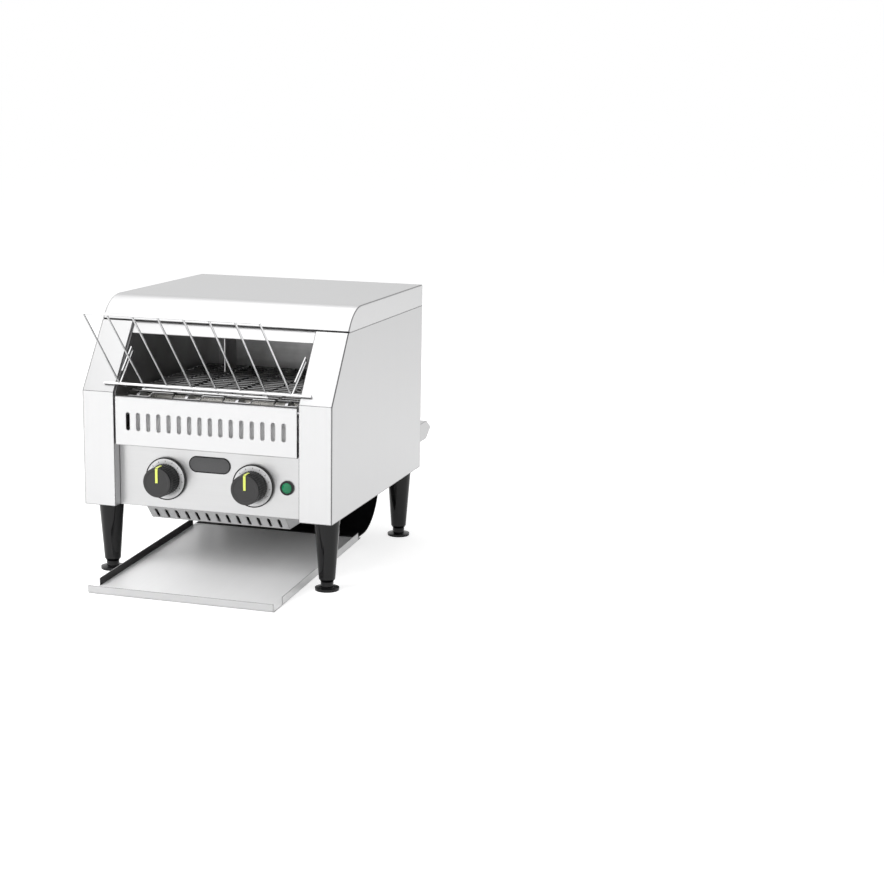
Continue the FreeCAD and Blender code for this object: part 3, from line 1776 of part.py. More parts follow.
# Loading rack: one welded piece of wire that hangs on the shoulders in front of the mouth.
# Its wires stand a little left of the rod's middle, and the two outer ones lean in towards the top.
rack_hook_return_share = 0.72


def loading_rack():
    """Wires side by side on the upper side of three cross rods, and a narrow hook beside each outer wire."""
    reach = float(size.rack_reach)
    rise = float(size.rack_rise)
    run = float(rack_run)
    up = FreeCAD.Vector(0, -reach / run, rise / run)
    square = FreeCAD.Vector(0, rise / run, reach / run)
    seat = FreeCAD.Vector(0, float(rack_rod_back), float(rack_rod_height))
    wire = float(size.rack_wire_diameter) / 2
    outer = float(column_inner - size.rack_wire_inset)
    pitch = 2 * outer / (RACK_WIRE_COUNT - 1)
    weld = float(size.rack_weld)
    top_inset = float(size.rack_top_inset)
    shift = FreeCAD.Vector(-float(size.rack_wire_shift), 0, 0)

    def straight(start, end, radius):
        return Part.makeCylinder(radius, (end - start).Length, start, end - start)

    def cross_rod(middle, half, diameter):
        radius = float(diameter) / 2
        centre = middle - square * (radius + wire - weld)
        side = FreeCAD.Vector(half, 0, 0)
        return straight(centre - side, centre + side, radius)

    plane = seat + square * (float(size.rack_rod_diameter) / 2 + wire - weld)
    top = plane + up * run
    low = plane - up * float(size.rack_tail)
    lower_half = pitch * (len(RACK_TAILED) - 1) / 2 + wire * 2
    parts = [
        cross_rod(top + shift, outer - top_inset + wire * 2, size.rack_rail_diameter),
        cross_rod(low + shift, lower_half, size.rack_lower_diameter),
    ]
    for index in range(RACK_WIRE_COUNT):
        offset = shift + FreeCAD.Vector(index * pitch - outer, 0, 0)
        inward = {0: top_inset, RACK_WIRE_COUNT - 1: -top_inset}.get(index, 0)
        foot = low if index in RACK_TAILED else plane
        parts.append(straight(foot + offset - up * wire, top + offset + FreeCAD.Vector(inward, 0, 0), wire))
    gap = up * float(size.rack_hook_gap)
    hook = square * float(size.rack_hook_length)
    beside = wire * 2 + float(size.rack_hook_gap_to_wire)
    for side in (-1, 1):
        foot = seat + shift + FreeCAD.Vector(side * outer + beside, 0, 0)
        tip = seat + hook + FreeCAD.Vector(side * float(chamber - size.rack_hook_inset), 0, 0)
        back = tip + gap + (foot - tip) * rack_hook_return_share
        parts.append(wire_solid([foot, tip, tip + gap, back], wire))
    rod = cross_rod(plane, float(column_inner + size.rack_rod_overlap), size.rack_rod_diameter)
    coded("loading_rack", rod.fuse(parts))


loading_rack()


# Check and export
document.recompute()
for thing in document.Objects:
    if "Invalid" in thing.State or "Error" in thing.State:
        raise RuntimeError(f"{thing.Name} ({thing.Label}) has failed: {thing.State}")
os.makedirs("parts", exist_ok=True)
for name, piece in NODES.items():
    shape = piece.Shape
    if shape.isNull() or not shape.isValid() or not shape.Solids:
        raise RuntimeError(f"{name} has no valid solid")
    shape.exportStep(f"parts/{name}.step")
    box = shape.BoundBox
    print(f"{name}: {len(shape.Solids)} solids, volume {shape.Volume:.1f},",
          f"X {box.XMin:.2f} to {box.XMax:.2f}, Y {box.YMin:.2f} to {box.YMax:.2f},",
          f"Z {box.ZMin:.2f} to {box.ZMax:.2f}")
print(len(NODES), "nodes, origin", round(float(origin_back), 4), "behind the columns")
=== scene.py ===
import math

import bpy
import numpy as np
from bpy.props import FloatProperty, FloatVectorProperty, IntProperty, PointerProperty
from bpy.types import Operator, Panel, PropertyGroup
from mathutils import Matrix, Vector


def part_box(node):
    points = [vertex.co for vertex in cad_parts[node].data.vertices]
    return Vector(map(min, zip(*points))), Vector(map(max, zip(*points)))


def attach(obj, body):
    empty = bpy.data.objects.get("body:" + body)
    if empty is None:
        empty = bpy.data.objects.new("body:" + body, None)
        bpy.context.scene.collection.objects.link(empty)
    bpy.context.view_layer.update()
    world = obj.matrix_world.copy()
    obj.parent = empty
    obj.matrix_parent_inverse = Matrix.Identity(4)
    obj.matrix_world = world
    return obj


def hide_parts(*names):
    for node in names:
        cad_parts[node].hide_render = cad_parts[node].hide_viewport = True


bl_info = {
    "name": "Conveyor Toaster",
    "version": (1, 0, 0),
    "blender": (4, 5, 0),
    "location": "View3D > Sidebar > Toaster",
    "description": "Dresses the solids of a counter-top conveyor toaster with finishes and fine pieces",
    "category": "Object",
}

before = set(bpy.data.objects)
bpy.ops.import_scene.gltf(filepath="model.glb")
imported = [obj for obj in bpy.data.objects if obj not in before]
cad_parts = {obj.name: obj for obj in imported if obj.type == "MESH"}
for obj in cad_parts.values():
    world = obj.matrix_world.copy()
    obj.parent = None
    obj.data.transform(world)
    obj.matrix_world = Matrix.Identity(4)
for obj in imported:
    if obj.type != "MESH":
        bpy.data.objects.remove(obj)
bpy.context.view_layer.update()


# Surfaces

SHARP_EDGE = math.radians(40.0)


def extent(node):
    """The lowest and the highest corner of a node at rest."""
    return [np.array(corner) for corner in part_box(node)]


def round_extent(low, high):
    """The centre, the radius across X, the front and the back of a solid that is round about Y."""
    return (low + high) / 2, (high[0] - low[0]) / 2, low[1], high[1]


def outward(vertices, faces):
    """Faces turned so that a closed mesh holds a positive volume: the sum of the tetrahedra that each
    face's corner triangles make with the middle of all vertices."""
    centre = vertices.mean(axis=0)
    volume = 0.0
    for size in {len(face) for face in faces}:
        corners = vertices[np.array([face for face in faces if len(face) == size])] - centre
        for step in range(1, size - 1):
            cross = np.cross(corners[:, step], corners[:, step + 1])
            volume += float(np.einsum("ij,ij->", corners[:, 0], cross))
    return [face[::-1] for face in faces] if volume < 0 else faces


def loft(rings, open_ends=False):
    """A closed skin over a stack of closed rings, an array of rows by columns by XYZ. The quads join
    neighbouring points of neighbouring rings, and a fan to its centre closes each end. With open ends
    the last ring joins the first, which makes a torus-like skin."""
    rows, columns = rings.shape[:2]
    index = np.arange(rows * columns).reshape(rows, columns)
    if open_ends:
        upper, lower = index, np.roll(index, -1, axis=0)
    else:
        upper, lower = index[:-1], index[1:]
    quads = np.stack([upper, np.roll(upper, -1, axis=1), np.roll(lower, -1, axis=1), lower], axis=-1)
    faces = quads.reshape(-1, 4).tolist()
    vertices = rings.reshape(-1, 3)
    if not open_ends:
        ends = np.stack([rings[0].mean(axis=0), rings[-1].mean(axis=0)])
        vertices = np.concatenate([vertices, ends])
        hub = rows * columns
        first = np.stack([np.full(columns, hub), np.roll(index[0], -1), index[0]], axis=-1)
        last = np.stack([np.full(columns, hub + 1), index[-1], np.roll(index[-1], -1)], axis=-1)
        faces += first.tolist() + last.tolist()
    return vertices, outward(vertices, faces)


def placed(name, data):
    """An object in the scene that holds a mesh, a lamp or a camera."""
    thing = bpy.data.objects.new(name, data)
    bpy.context.scene.collection.objects.link(thing)
    return thing


def piece(name, skins, material, body, replaces=()):
    """One object from several skins, with smooth shading but for the sharp edges. It rides on a body,
    takes its finish from a slot and stands for the solids that it replaces."""
    vertices, faces, offset = [], [], 0
    for points, polygons in skins:
        vertices.append(points)
        faces += [[corner + offset for corner in polygon] for polygon in polygons]
        offset += len(points)
    mesh = bpy.data.meshes.new(name)
    mesh.from_pydata(np.concatenate(vertices).tolist(), [], faces)
    mesh.validate()
    mesh.shade_smooth()
    mesh.set_sharp_from_angle(angle=SHARP_EDGE)
    thing = placed(name, mesh)
    for each in material if isinstance(material, list) else [material]:
        mesh.materials.append(each)
    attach(thing, body)
    if replaces:
        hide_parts(*replaces)
    return thing


def turned(profile, centre, axis="y", sides=96, ripple=None, open_ends=False):
    """A skin turned about an axis through a centre: each row of the profile is a radius and a place on the
    axis, and a point is that place + radius * (cos a, sin a). A ripple changes the radius as a function
    of the angle and the row. With open ends the profile is a closed loop, which makes a ring or a pipe."""
    profile = np.asarray(profile, float)
    centre = np.array(centre, float)
    centre["xyz".index(axis)] = 0
    angle = np.linspace(0, 2 * np.pi, sides, endpoint=False)
    radius = np.repeat(profile[:, :1], sides, axis=1)
    if ripple is not None:
        radius = radius + ripple(angle[None, :], np.arange(len(profile))[:, None])
    along = np.repeat(profile[:, 1:], sides, axis=1)
    across, up = radius * np.cos(angle), radius * np.sin(angle)
    order = {"x": (along, across, up), "y": (across, along, up)}[axis]
    return loft(np.stack(order, axis=-1) + centre, open_ends)


def rounded(points, radius, steps=5):
    """A path whose inner corners are rounded: each corner C becomes the parabola
    (1-s)^2 A + 2 s (1-s) C + s^2 B between the points A and B at the radius' distance before and after,
    or at just under half of a run that is too short for it."""
    points = np.asarray(points, float)
    before, corner, after = points[:-2], points[1:-1], points[2:]
    run_in = np.linalg.norm(corner - before, axis=1, keepdims=True)
    run_out = np.linalg.norm(after - corner, axis=1, keepdims=True)
    reach = np.minimum(radius, 0.48 * np.minimum(run_in, run_out))
    start = corner - (corner - before) / run_in * reach
    end = corner + (after - corner) / run_out * reach
    share = np.linspace(0, 1, steps)[None, :, None]
    bends = (1 - share) ** 2 * start[:, None] + share ** 2 * end[:, None]
    bends += 2 * share * (1 - share) * corner[:, None]
    return np.concatenate([points[:1], bends.reshape(-1, 3), points[-1:]])


def wire(path, radius, normal, sides=10, domed=True):
    """A round wire along a flat path. Its ring at a point is the point + radius * (cos a * normal +
    sin a * side), where the side is square to the normal and to the path's direction there. Domed ends
    add rings that shrink by the cosine of a quarter turn as they move out by its sine."""
    path = np.asarray(path, float)
    normal = np.asarray(normal, float) / np.linalg.norm(normal)
    steps = np.diff(path, axis=0)
    steps /= np.linalg.norm(steps, axis=1, keepdims=True)
    tangent = np.concatenate([steps[:1], steps[:-1] + steps[1:], steps[-1:]])
    tangent /= np.linalg.norm(tangent, axis=1, keepdims=True)
    reach = np.full(len(path), radius)
    if domed:
        turn = np.array([1.25, 0.9, 0.45])
        head = path[0] - tangent[0] * (radius * np.sin(turn))[:, None]
        tail = path[-1] + tangent[-1] * (radius * np.sin(turn[::-1]))[:, None]
        path = np.concatenate([head, path, tail])
        reach = np.concatenate([radius * np.cos(turn), reach, radius * np.cos(turn[::-1])])
        tangent = np.concatenate([np.repeat(tangent[:1], 3, 0), tangent, np.repeat(tangent[-1:], 3, 0)])
    side = np.cross(tangent, normal)
    side /= np.linalg.norm(side, axis=1, keepdims=True)
    angle = np.linspace(0, 2 * np.pi, sides, endpoint=False)[None, :, None]
    ring = np.cos(angle) * normal + np.sin(angle) * side[:, None]
    return loft(path[:, None] + reach[:, None, None] * ring)


# Finishes

RELIEF_DEPTH = 0.0002
FOLD_REACH = 0.0014
GREY = (0.6, 0.6, 0.6, 1)
# Colour of the painted shade mixed in along folds
FOLD_PAINTED_SHADE = (0.07, 0.07, 0.072, 1)
# How far a normal's part along an axis has to reach for its face to count as square to that axis
SQUARE_TO = 0.7


def node_group(name, inputs, outputs):
    """A shader node group with named sockets, and its tree's input and output nodes. An input without a
    value is a vector, one with a tuple is a colour and one with a number is a plain value."""
    group = bpy.data.node_groups.new(name, "ShaderNodeTree")
    for label, value in inputs.items():
        kind = "Vector" if value is None else "Color" if isinstance(value, tuple) else "Float"
        socket = group.interface.new_socket(label, in_out="INPUT", socket_type=f"NodeSocket{kind}")
        if value is not None:
            socket.default_value = value
    for label in outputs:
        kind = {"Color": "Color", "Normal": "Vector"}.get(label, "Float")
        group.interface.new_socket(label, in_out="OUTPUT", socket_type=f"NodeSocket{kind}")
    return group, group.nodes.new("NodeGroupInput"), group.nodes.new("NodeGroupOutput")


def add(tree, kind, links=None, **settings):
    """A shader node, by its type's name without ShaderNode, with its settings. Links give each input, by
    number or label, a socket or a plain value."""
    node = tree.nodes.new(f"ShaderNode{kind}")
    for key, value in settings.items():
        setattr(node, key, value)
    for number, source in (links or {}).items():
        if isinstance(source, bpy.types.NodeSocket):
            tree.links.new(source, node.inputs[number])
        else:
            node.inputs[number].default_value = source
    return node


def sum_of(tree, *sources, kind="MULTIPLY_ADD"):
    """first * second + third, or another sum by its kind."""
    return add(tree, "Math", dict(enumerate(sources)), operation=kind).outputs[0]


def tinted(tree, share, first, second, kind="MIX"):
    """A colour between two by a share."""
    node = add(tree, "Mix", {0: share, 6: first, 7: second}, data_type="RGBA", blend_type=kind)
    return node.outputs[2]


def shaded(tree, colour, spread, amount):
    """colour * (1 + spread * amount)."""
    shade = sum_of(tree, spread, amount, 1.0)
    grey = add(tree, "CombineXYZ", {0: shade, 1: shade, 2: shade}).outputs[0]
    return tinted(tree, 1.0, colour, grey, "MULTIPLY")


def relief_of(tree, strength, height, **others):
    """A fine relief from a height, with what else feeds it, such as another Normal under it."""
    links = {"Strength": strength, "Distance": RELIEF_DEPTH, "Height": height, **others}
    return add(tree, "Bump", links).outputs[0]


def plug(tree, node, **sources):
    """Links sources to a node's inputs by their names, with _ for a space."""
    for key, source in sources.items():
        tree.links.new(source, node.inputs[key.replace("_", " ")])


def brushed_grain():
    """Fine grain drawn out along one direction over broad soft streaks: colour * (1 + streaks), roughness +
    spread * streaks, and the fine grain as relief."""
    group, start, end = node_group("Brushed Grain", {
        "Vector": None, "Color": GREY, "Streak": 0.1, "Roughness": 0.35, "Spread": 0.1, "Relief": 0.1,
        "Normal": None}, ["Color", "Roughness", "Normal"])
    vector = start.outputs["Vector"]
    fine = add(group, "TexNoise", {"Vector": vector, "Scale": 1.0, "Detail": 3.0}).outputs[0]
    slow = add(group, "VectorMath", {0: vector, 3: 0.045}, operation="SCALE").outputs[0]
    broad = add(group, "TexNoise", {"Vector": slow, "Scale": 1.0, "Detail": 2.0}).outputs[0]
    both = sum_of(group, fine, 0.45, sum_of(group, broad, 0.55, -0.5))
    plug(group, end, Color=shaded(group, start.outputs["Color"], both, start.outputs["Streak"]),
         Roughness=sum_of(group, both, start.outputs["Spread"], start.outputs["Roughness"]),
         Normal=relief_of(group, start.outputs["Relief"], fine, Normal=start.outputs["Normal"]))
    return group


def moulded_grain():
    """The stipple of a moulded or painted face: small noise as relief and as a slight change of shade."""
    group, start, end = node_group("Moulded Grain", {
        "Vector": None, "Color": (0.05, 0.05, 0.05, 1), "Scale": 1500.0, "Mottle": 0.2, "Roughness": 0.5,
        "Relief": 0.2}, ["Color", "Roughness", "Normal"])
    vector = start.outputs["Vector"]
    stipple = add(group, "TexNoise", {
        "Vector": vector, "Scale": start.outputs["Scale"], "Detail": 2.0}).outputs[0]
    cloud = add(group, "TexNoise", {"Vector": vector, "Scale": 28.0, "Detail": 3.0}).outputs[0]
    both = sum_of(group, stipple, 0.5, sum_of(group, cloud, 0.5, -0.5))
    plug(group, end, Color=shaded(group, start.outputs["Color"], both, start.outputs["Mottle"]),
         Roughness=sum_of(group, both, 0.12, start.outputs["Roughness"]),
         Normal=relief_of(group, start.outputs["Relief"], stipple))
    return group


def heat_tint():
    """Patches that heat leaves on bright metal: a soft noise picks between the metal's colour and the
    tint, up to an amount."""
    group, start, end = node_group("Heat Tint", {
        "Vector": None, "Color": GREY, "Tint": (0.35, 0.24, 0.14, 1), "Amount": 0.5, "Scale": 14.0,
    }, ["Color"])
    patch = add(group, "TexNoise", {
        "Vector": start.outputs["Vector"], "Scale": start.outputs["Scale"], "Detail": 4.0}).outputs[0]
    wide = add(group, "MapRange", {0: patch, 1: 0.35, 2: 0.7}).outputs[0]
    mask = sum_of(group, wide, start.outputs["Amount"], kind="MULTIPLY")
    plug(group, end, Color=tinted(group, mask, start.outputs["Color"], start.outputs["Tint"]))
    return group


def spun_rings():
    """Fine rings about the vector's Y axis: noise of the distance from the axis, as shade and relief."""
    group, start, end = node_group("Spun Rings", {
        "Vector": None, "Color": GREY, "Pitch": 0.0004, "Shade": 0.2, "Relief": 0.3}, ["Color", "Normal"])
    parts = add(group, "SeparateXYZ", {0: start.outputs["Vector"]})
    flat = add(group, "CombineXYZ", {0: parts.outputs[0], 1: parts.outputs[2]}).outputs[0]
    reach = add(group, "VectorMath", {0: flat}, operation="LENGTH").outputs["Value"]
    turns = sum_of(group, reach, start.outputs["Pitch"], kind="DIVIDE")
    rings = add(group, "TexNoise", {"W": turns, "Scale": 1.0, "Detail": 2.0}, noise_dimensions="1D")
    spread = sum_of(group, rings.outputs[0], 1.0, -0.5)
    plug(group, end, Color=shaded(group, start.outputs["Color"], spread, start.outputs["Shade"]),
         Normal=relief_of(group, start.outputs["Relief"], rings.outputs[0]))
    return group


def painted_fold_shade():
    """A thin dark line of painted shade along a fold, and the fold's bevelled normal. One mask grows from 0
    on a flat face to 1 at an edge, as the bevelled normal turns away from the plain one. The other is 4 * x^2
    * (1 - x^2) of the normal's X, which is 0 on the sides and on the fronts and 1 half way round the fold
      between them. The larger one
    counts and mixes the painted shade into the colour."""
    group, start, end = node_group("Painted Fold Shade", {
        "Color": GREY, "Line": (0.2, 0.2, 0.2, 1), "Amount": 0.6}, ["Color", "Normal"])
    soft = add(group, "Bevel", {"Radius": FOLD_REACH}, samples=6)
    plain = add(group, "NewGeometry").outputs["Normal"]
    meet = add(group, "VectorMath", {0: soft.outputs[0], 1: plain}, operation="DOT_PRODUCT")
    crease = add(group, "MapRange", {0: meet.outputs["Value"], 1: 0.9995, 2: 0.985})
    side = add(group, "SeparateXYZ", {0: plain}).outputs[0]
    square = sum_of(group, side, side, kind="MULTIPLY")
    rest = sum_of(group, square, -1.0, 1.0)
    fold = sum_of(group, sum_of(group, square, rest, kind="MULTIPLY"), 4.0, kind="MULTIPLY")
    either = sum_of(group, crease.outputs[0], fold, kind="MAXIMUM")
    mask = sum_of(group, either, start.outputs["Amount"], kind="MULTIPLY")
    plug(group, end, Color=tinted(group, mask, start.outputs["Color"], start.outputs["Line"]),
         Normal=soft.outputs[0])
    return group


def painted_light_mask():
    """Masks for painted light and shade. 1 on faces square to X and 0 on the others, and 1 on those of them
    whose distance from the middle lies on the inner side of a limit, or on the outer side where they face the
    middle. Under grows from 0 to 1 as a face turns downwards, and Ahead is 1 on faces towards the front."""
    group, start, end = node_group("Painted Light Mask", {"Vector": None, "Limit": 0.1}, [
        "Flank", "Inside", "Inward", "Under", "Ahead"])
    place = add(group, "SeparateXYZ", {0: start.outputs["Vector"]}).outputs[0]
    plain = add(group, "NewGeometry").outputs["Normal"]
    turns = add(group, "SeparateXYZ", {0: plain})
    side = turns.outputs[0]
    under = add(group, "MapRange", {0: turns.outputs[2], 1: -0.55, 2: -0.95})
    flank = sum_of(group, sum_of(group, side, kind="ABSOLUTE"), SQUARE_TO, kind="GREATER_THAN")
    away = sum_of(group, place, kind="ABSOLUTE")
    near = sum_of(group, away, start.outputs["Limit"], kind="LESS_THAN")
    far = sum_of(group, away, start.outputs["Limit"], kind="GREATER_THAN")
    towards = sum_of(group, sum_of(group, side, place, kind="MULTIPLY"), 0.0, kind="LESS_THAN")
    outer = sum_of(group, flank, far, kind="MULTIPLY")
    plug(group, end, Flank=flank, Inside=sum_of(group, flank, near, kind="MULTIPLY"),
         Inward=sum_of(group, outer, towards, kind="MULTIPLY"), Under=under.outputs[0],
         Ahead=sum_of(group, turns.outputs[1], -SQUARE_TO, kind="LESS_THAN"))
    return group


GROUPS = {}
FINISHES = {}
# How often the grain changes per metre along X, Y and Z
ACROSS = (7, 800, 800)
SHEET = (7, 500, 500)
UPRIGHT = (800, 800, 7)


def group_node(tree, make, links):
    """The named group as a node in a material; the group itself is built once."""
    if make.__name__ not in GROUPS:
        GROUPS[make.__name__] = make()
    return add(tree, "Group", links, node_tree=GROUPS[make.__name__])


def new_material(name, sockets, scale=(1, 1, 1), centre=(0, 0, 0)):
    """A material with the shader's own sockets set, and its object coordinates moved and stretched."""
    material = bpy.data.materials.new(name)
    material.use_nodes = True
    tree = material.node_tree
    shader = tree.nodes["Principled BSDF"]
    for key, value in sockets.items():
        shader.inputs[key.replace("_", " ")].default_value = value
    place = add(tree, "TexCoord").outputs["Object"]
    moved = add(tree, "VectorMath", {0: place, 1: centre}, operation="SUBTRACT").outputs[0]
    spread = add(tree, "VectorMath", {0: moved, 1: scale}, operation="MULTIPLY").outputs[0]
    FINISHES[name] = material
    return material, tree, shader, moved, spread


def brushed(name, colour, roughness, scale, streak=0.12, spread=0.12, relief=0.12, tint=None, line=0.0,
            painted_flanks=(), **sockets):
    """Sheet metal with a drawn-out grain, a heat tint where one is given, painted shade along folded edges,
    and painted light and shade on the faces that a mask names, up to a limit."""
    material, tree, shader, moved, drawn_out = new_material(name, {"Metallic": 1.0, **sockets}, scale)
    base = (*colour, 1)
    # Painted light and shade: each mask mixes in a lighter or darker tone that stands in for how light falls
    # on those faces
    for mask, limit, other in painted_flanks:
        where = group_node(tree, painted_light_mask, {"Vector": moved, "Limit": limit}).outputs[mask]
        base = tinted(tree, where, base, (*other, 1))
    if tint:
        base = group_node(tree, heat_tint, {
            "Vector": moved, "Color": base, "Tint": (*tint[0], 1), "Amount": tint[1]}).outputs["Color"]
    links = {
        "Vector": drawn_out, "Color": base, "Streak": streak, "Roughness": roughness,
        "Spread": spread, "Relief": relief}
    # Painted shade along the folds: the line's amount sets how far the dark fold colour is mixed in
    if line:
        edge = group_node(tree, painted_fold_shade, {"Color": base, "Line": FOLD_PAINTED_SHADE, "Amount": line})
        links.update({"Color": edge.outputs["Color"], "Normal": edge.outputs["Normal"]})
    grain = group_node(tree, brushed_grain, links).outputs
    plug(tree, shader, Base_Color=grain["Color"], Roughness=grain["Roughness"], Normal=grain["Normal"])
    return material


def moulded(name, colour, roughness, size=900.0, mottle=0.2, relief=0.2, level=0.5, **sockets):
    """Plastic, paint or ceramic with a fine stipple. The level is that of its gloss."""
    material, tree, shader, moved, _ = new_material(name, {"Specular_IOR_Level": level, **sockets})
    grain = group_node(tree, moulded_grain, {
        "Vector": moved, "Color": (*colour, 1), "Scale": size, "Mottle": mottle, "Roughness": roughness,
        "Relief": relief}).outputs
    plug(tree, shader, Base_Color=grain["Color"], Roughness=grain["Roughness"], Normal=grain["Normal"])
    return material


def spun(name, colour, roughness, centre, pitch, shade, relief=0.3, **sockets):
    """Metal or plastic with rings about an axis along Y through a centre."""
    sockets = {"Metallic": 1.0, "Roughness": roughness, **sockets}
    material, tree, shader, moved, _ = new_material(name, sockets, centre=centre)
    rings = group_node(tree, spun_rings, {
        "Vector": moved, "Color": (*colour, 1), "Pitch": pitch, "Shade": shade, "Relief": relief}).outputs
    plug(tree, shader, Base_Color=rings["Color"], Normal=rings["Normal"])
    return material


def dress(material, *nodes):
    """Gives a material to every slot of the solids named."""
    for name in nodes:
        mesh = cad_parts[name].data
        mesh.materials.clear()
        mesh.materials.append(material)


# Settings


def swatch(name, description, colour):
    """A colour that the user can pick."""
    return FloatVectorProperty(
        name=name, description=description, subtype="COLOR", default=colour, min=0, max=1)


def length(name, description, size, least, most):
    """A length that the user can set."""
    return FloatProperty(
        name=name, description=description, subtype="DISTANCE", unit="LENGTH", default=size,
        min=least, max=most, precision=4)


def watts(name, description, power):
    """A lamp's power that the user can set."""
    return FloatProperty(
        name=name, description=f"{description}, in watts", unit="POWER", default=power, min=0, max=500)


def count(name, description, number, least, most):
    """A number of like details that the user can set."""
    return IntProperty(
        name=name, description=description, subtype="UNSIGNED", default=number, min=least, max=most)


class ToasterFinishSettings(PropertyGroup):
    casing_colour: swatch("Casing", "Colour of the stainless casing", (0.575, 0.575, 0.578))
    cover_colour: swatch("Cover", "Colour of the stainless cover", (0.57, 0.57, 0.573))
    vent_colour: swatch("Vent panel", "Colour of the slotted panel over the controls", (0.585, 0.585, 0.588))
    fascia_colour: swatch("Fascia", "Colour of the control panel", (0.505, 0.505, 0.507))
    pan_colour: swatch("Pan", "Colour of the slotted pan under the casing", (0.50, 0.50, 0.502))
    tray_colour: swatch("Tray", "Colour of the collection tray", (0.84, 0.84, 0.842))
    knob_colour: swatch("Knob faces", "Colour of the satin knob faces", (0.034, 0.0335, 0.034))
    skirt_colour: swatch("Knob skirts", "Colour of the fluted knob skirts", (0.006, 0.006, 0.0065))
    pointer_colour: swatch("Pointers", "Colour of the painted pointers", (0.72, 0.80, 0.16))
    lens_colour: swatch("Pilot lens", "Colour of the pilot light's lens", (0.010, 0.19, 0.08))
    casing_roughness: FloatProperty(
        name="Casing roughness", description="Roughness of the brushed casing", subtype="FACTOR",
        default=0.34, min=0, max=1)


class ToasterControlSettings(PropertyGroup):
    flute_count: count("Flutes", "Grip flutes round each knob", 36, 6, 60)
    flute_depth: length("Flute depth", "Depth of the grip flutes", 0.0007, 0, 0.003)
    mark_count: count("Dial marks", "Marks round each dial plate", 11, 0, 60)


class ToasterWireSettings(PropertyGroup):
    belt_wire: length("Belt wire", "Diameter of the belt's wire", 0.002, 0.0005, 0.003)
    belt_pitch: length("Belt pitch", "Distance between the belt's cross wires", 0.0143, 0.005, 0.03)
    crank_pitch: length("Crank pitch", "Distance between the cranks of a cross wire", 0.075, 0.02, 0.2)
    crank_width: length("Crank width", "Width of a crank", 0.034, 0.005, 0.1)
    coil_turns: count("Filament turns", "Turns of the filament in each tube", 70, 10, 200)


class ToasterStageSettings(PropertyGroup):
    lens: FloatProperty(
        name="Lens", description="Focal length of the camera in millimetres", unit="CAMERA",
        default=70.19, min=10, max=300)
    front_light: watts("Front light", "Power of the large lamp in front", 8.0)
    high_light: watts("High light", "Power of the long lamp overhead", 30.0)
    wide_light: watts("Wide light", "Power of the wide lamp on the right that only gloss shows", 18.0)
    key_light: watts("Key light", "Power of the lamp in front on the left that gloss doesn't show", 44.0)
    surround: FloatProperty(
        name="Surround", description="Strength of the even light from all round", default=0.5, min=0, max=2)


# Operators


class TOASTER_OT_casing(Operator):
    """Dress the casing, the cover and the panels in brushed stainless steel"""
    bl_idname = "toaster.casing"
    bl_label = "Casing"

    def execute(self, context):
        look = context.scene.toaster_finish
        rough = look.casing_roughness
        seam = 0.0004
        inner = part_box("control_panel")[1][0] + seam
        # Painted shade: the columns' inner returns, facing into the recess beside the panels, take a darker
        # tone
        dress(brushed("casing_brushed_upright", look.casing_colour, rough, UPRIGHT, streak=0.10, line=1.0,
                      painted_flanks=[("Inside", inner, (0.42, 0.42, 0.425))]),
              "left_side_casing", "right_side_casing")
        dress(brushed("bracket_sheet", look.fascia_colour, rough, ACROSS, streak=0.1, line=0.7),
              "rear_bracket")
        # Painted light: the cover's side faces take a lighter tone than its top and front
        dress(brushed("cover_brushed_across", look.cover_colour, rough, ACROSS, streak=0.07, line=0.8,
                      painted_flanks=[("Flank", 0.1, (0.70, 0.70, 0.703))], Specular_Tint=(0.85, 0.85, 0.85, 1)),
              "top_cover", "lintel")
        dress(brushed("fascia_brushed_across", look.fascia_colour, rough - 0.02, (9, 900, 900), streak=0.18,
                      line=0.5), "control_panel")
        dress(brushed("vent_brushed_across", look.vent_colour, rough, ACROSS, streak=0.05, line=0.5),
              "vent_panel")
        dress(brushed("rear_panel_brushed", look.fascia_colour, rough + 0.06, ACROSS, streak=0.1),
              "rear_panel")
        return {"FINISHED"}


class TOASTER_OT_chamber(Operator):
    """Dress the toasting chamber: walls, reflectors, heat shield, support, rails and tubes' caps"""
    bl_idname = "toaster.chamber"
    bl_label = "Chamber"

    def execute(self, context):
        tint = ((0.16, 0.156, 0.153), 0.7)
        dress(brushed("chamber_sheet", (0.34, 0.34, 0.345), 0.45, SHEET, streak=0.3, tint=tint),
              "left_inner_wall", "right_inner_wall", "upper_reflector")
        dress(brushed("shield_sheet", (0.72, 0.72, 0.725), 0.34, SHEET, streak=0.35, tint=tint),
              "rear_heat_shield")
        dress(brushed("reflector_sheet", (0.52, 0.52, 0.522), 0.30, SHEET, streak=0.2, tint=tint),
              "lower_reflector", "element_support", "belt_rails")
        dress(brushed("baffle_sheet", (0.92, 0.92, 0.925), 0.5, (500, 500, 7), streak=0.08, Metallic=0.1),
              "vent_baffle")
        dress(brushed("base_sheet", (0.80, 0.80, 0.805), 0.45, SHEET, streak=0.1, Metallic=0.3),
              "base_plate", "motor_bracket")
        dress(moulded("fired_ceramic", (0.78, 0.74, 0.66), 0.7, mottle=0.25),
              "element_end_caps")
        return {"FINISHED"}


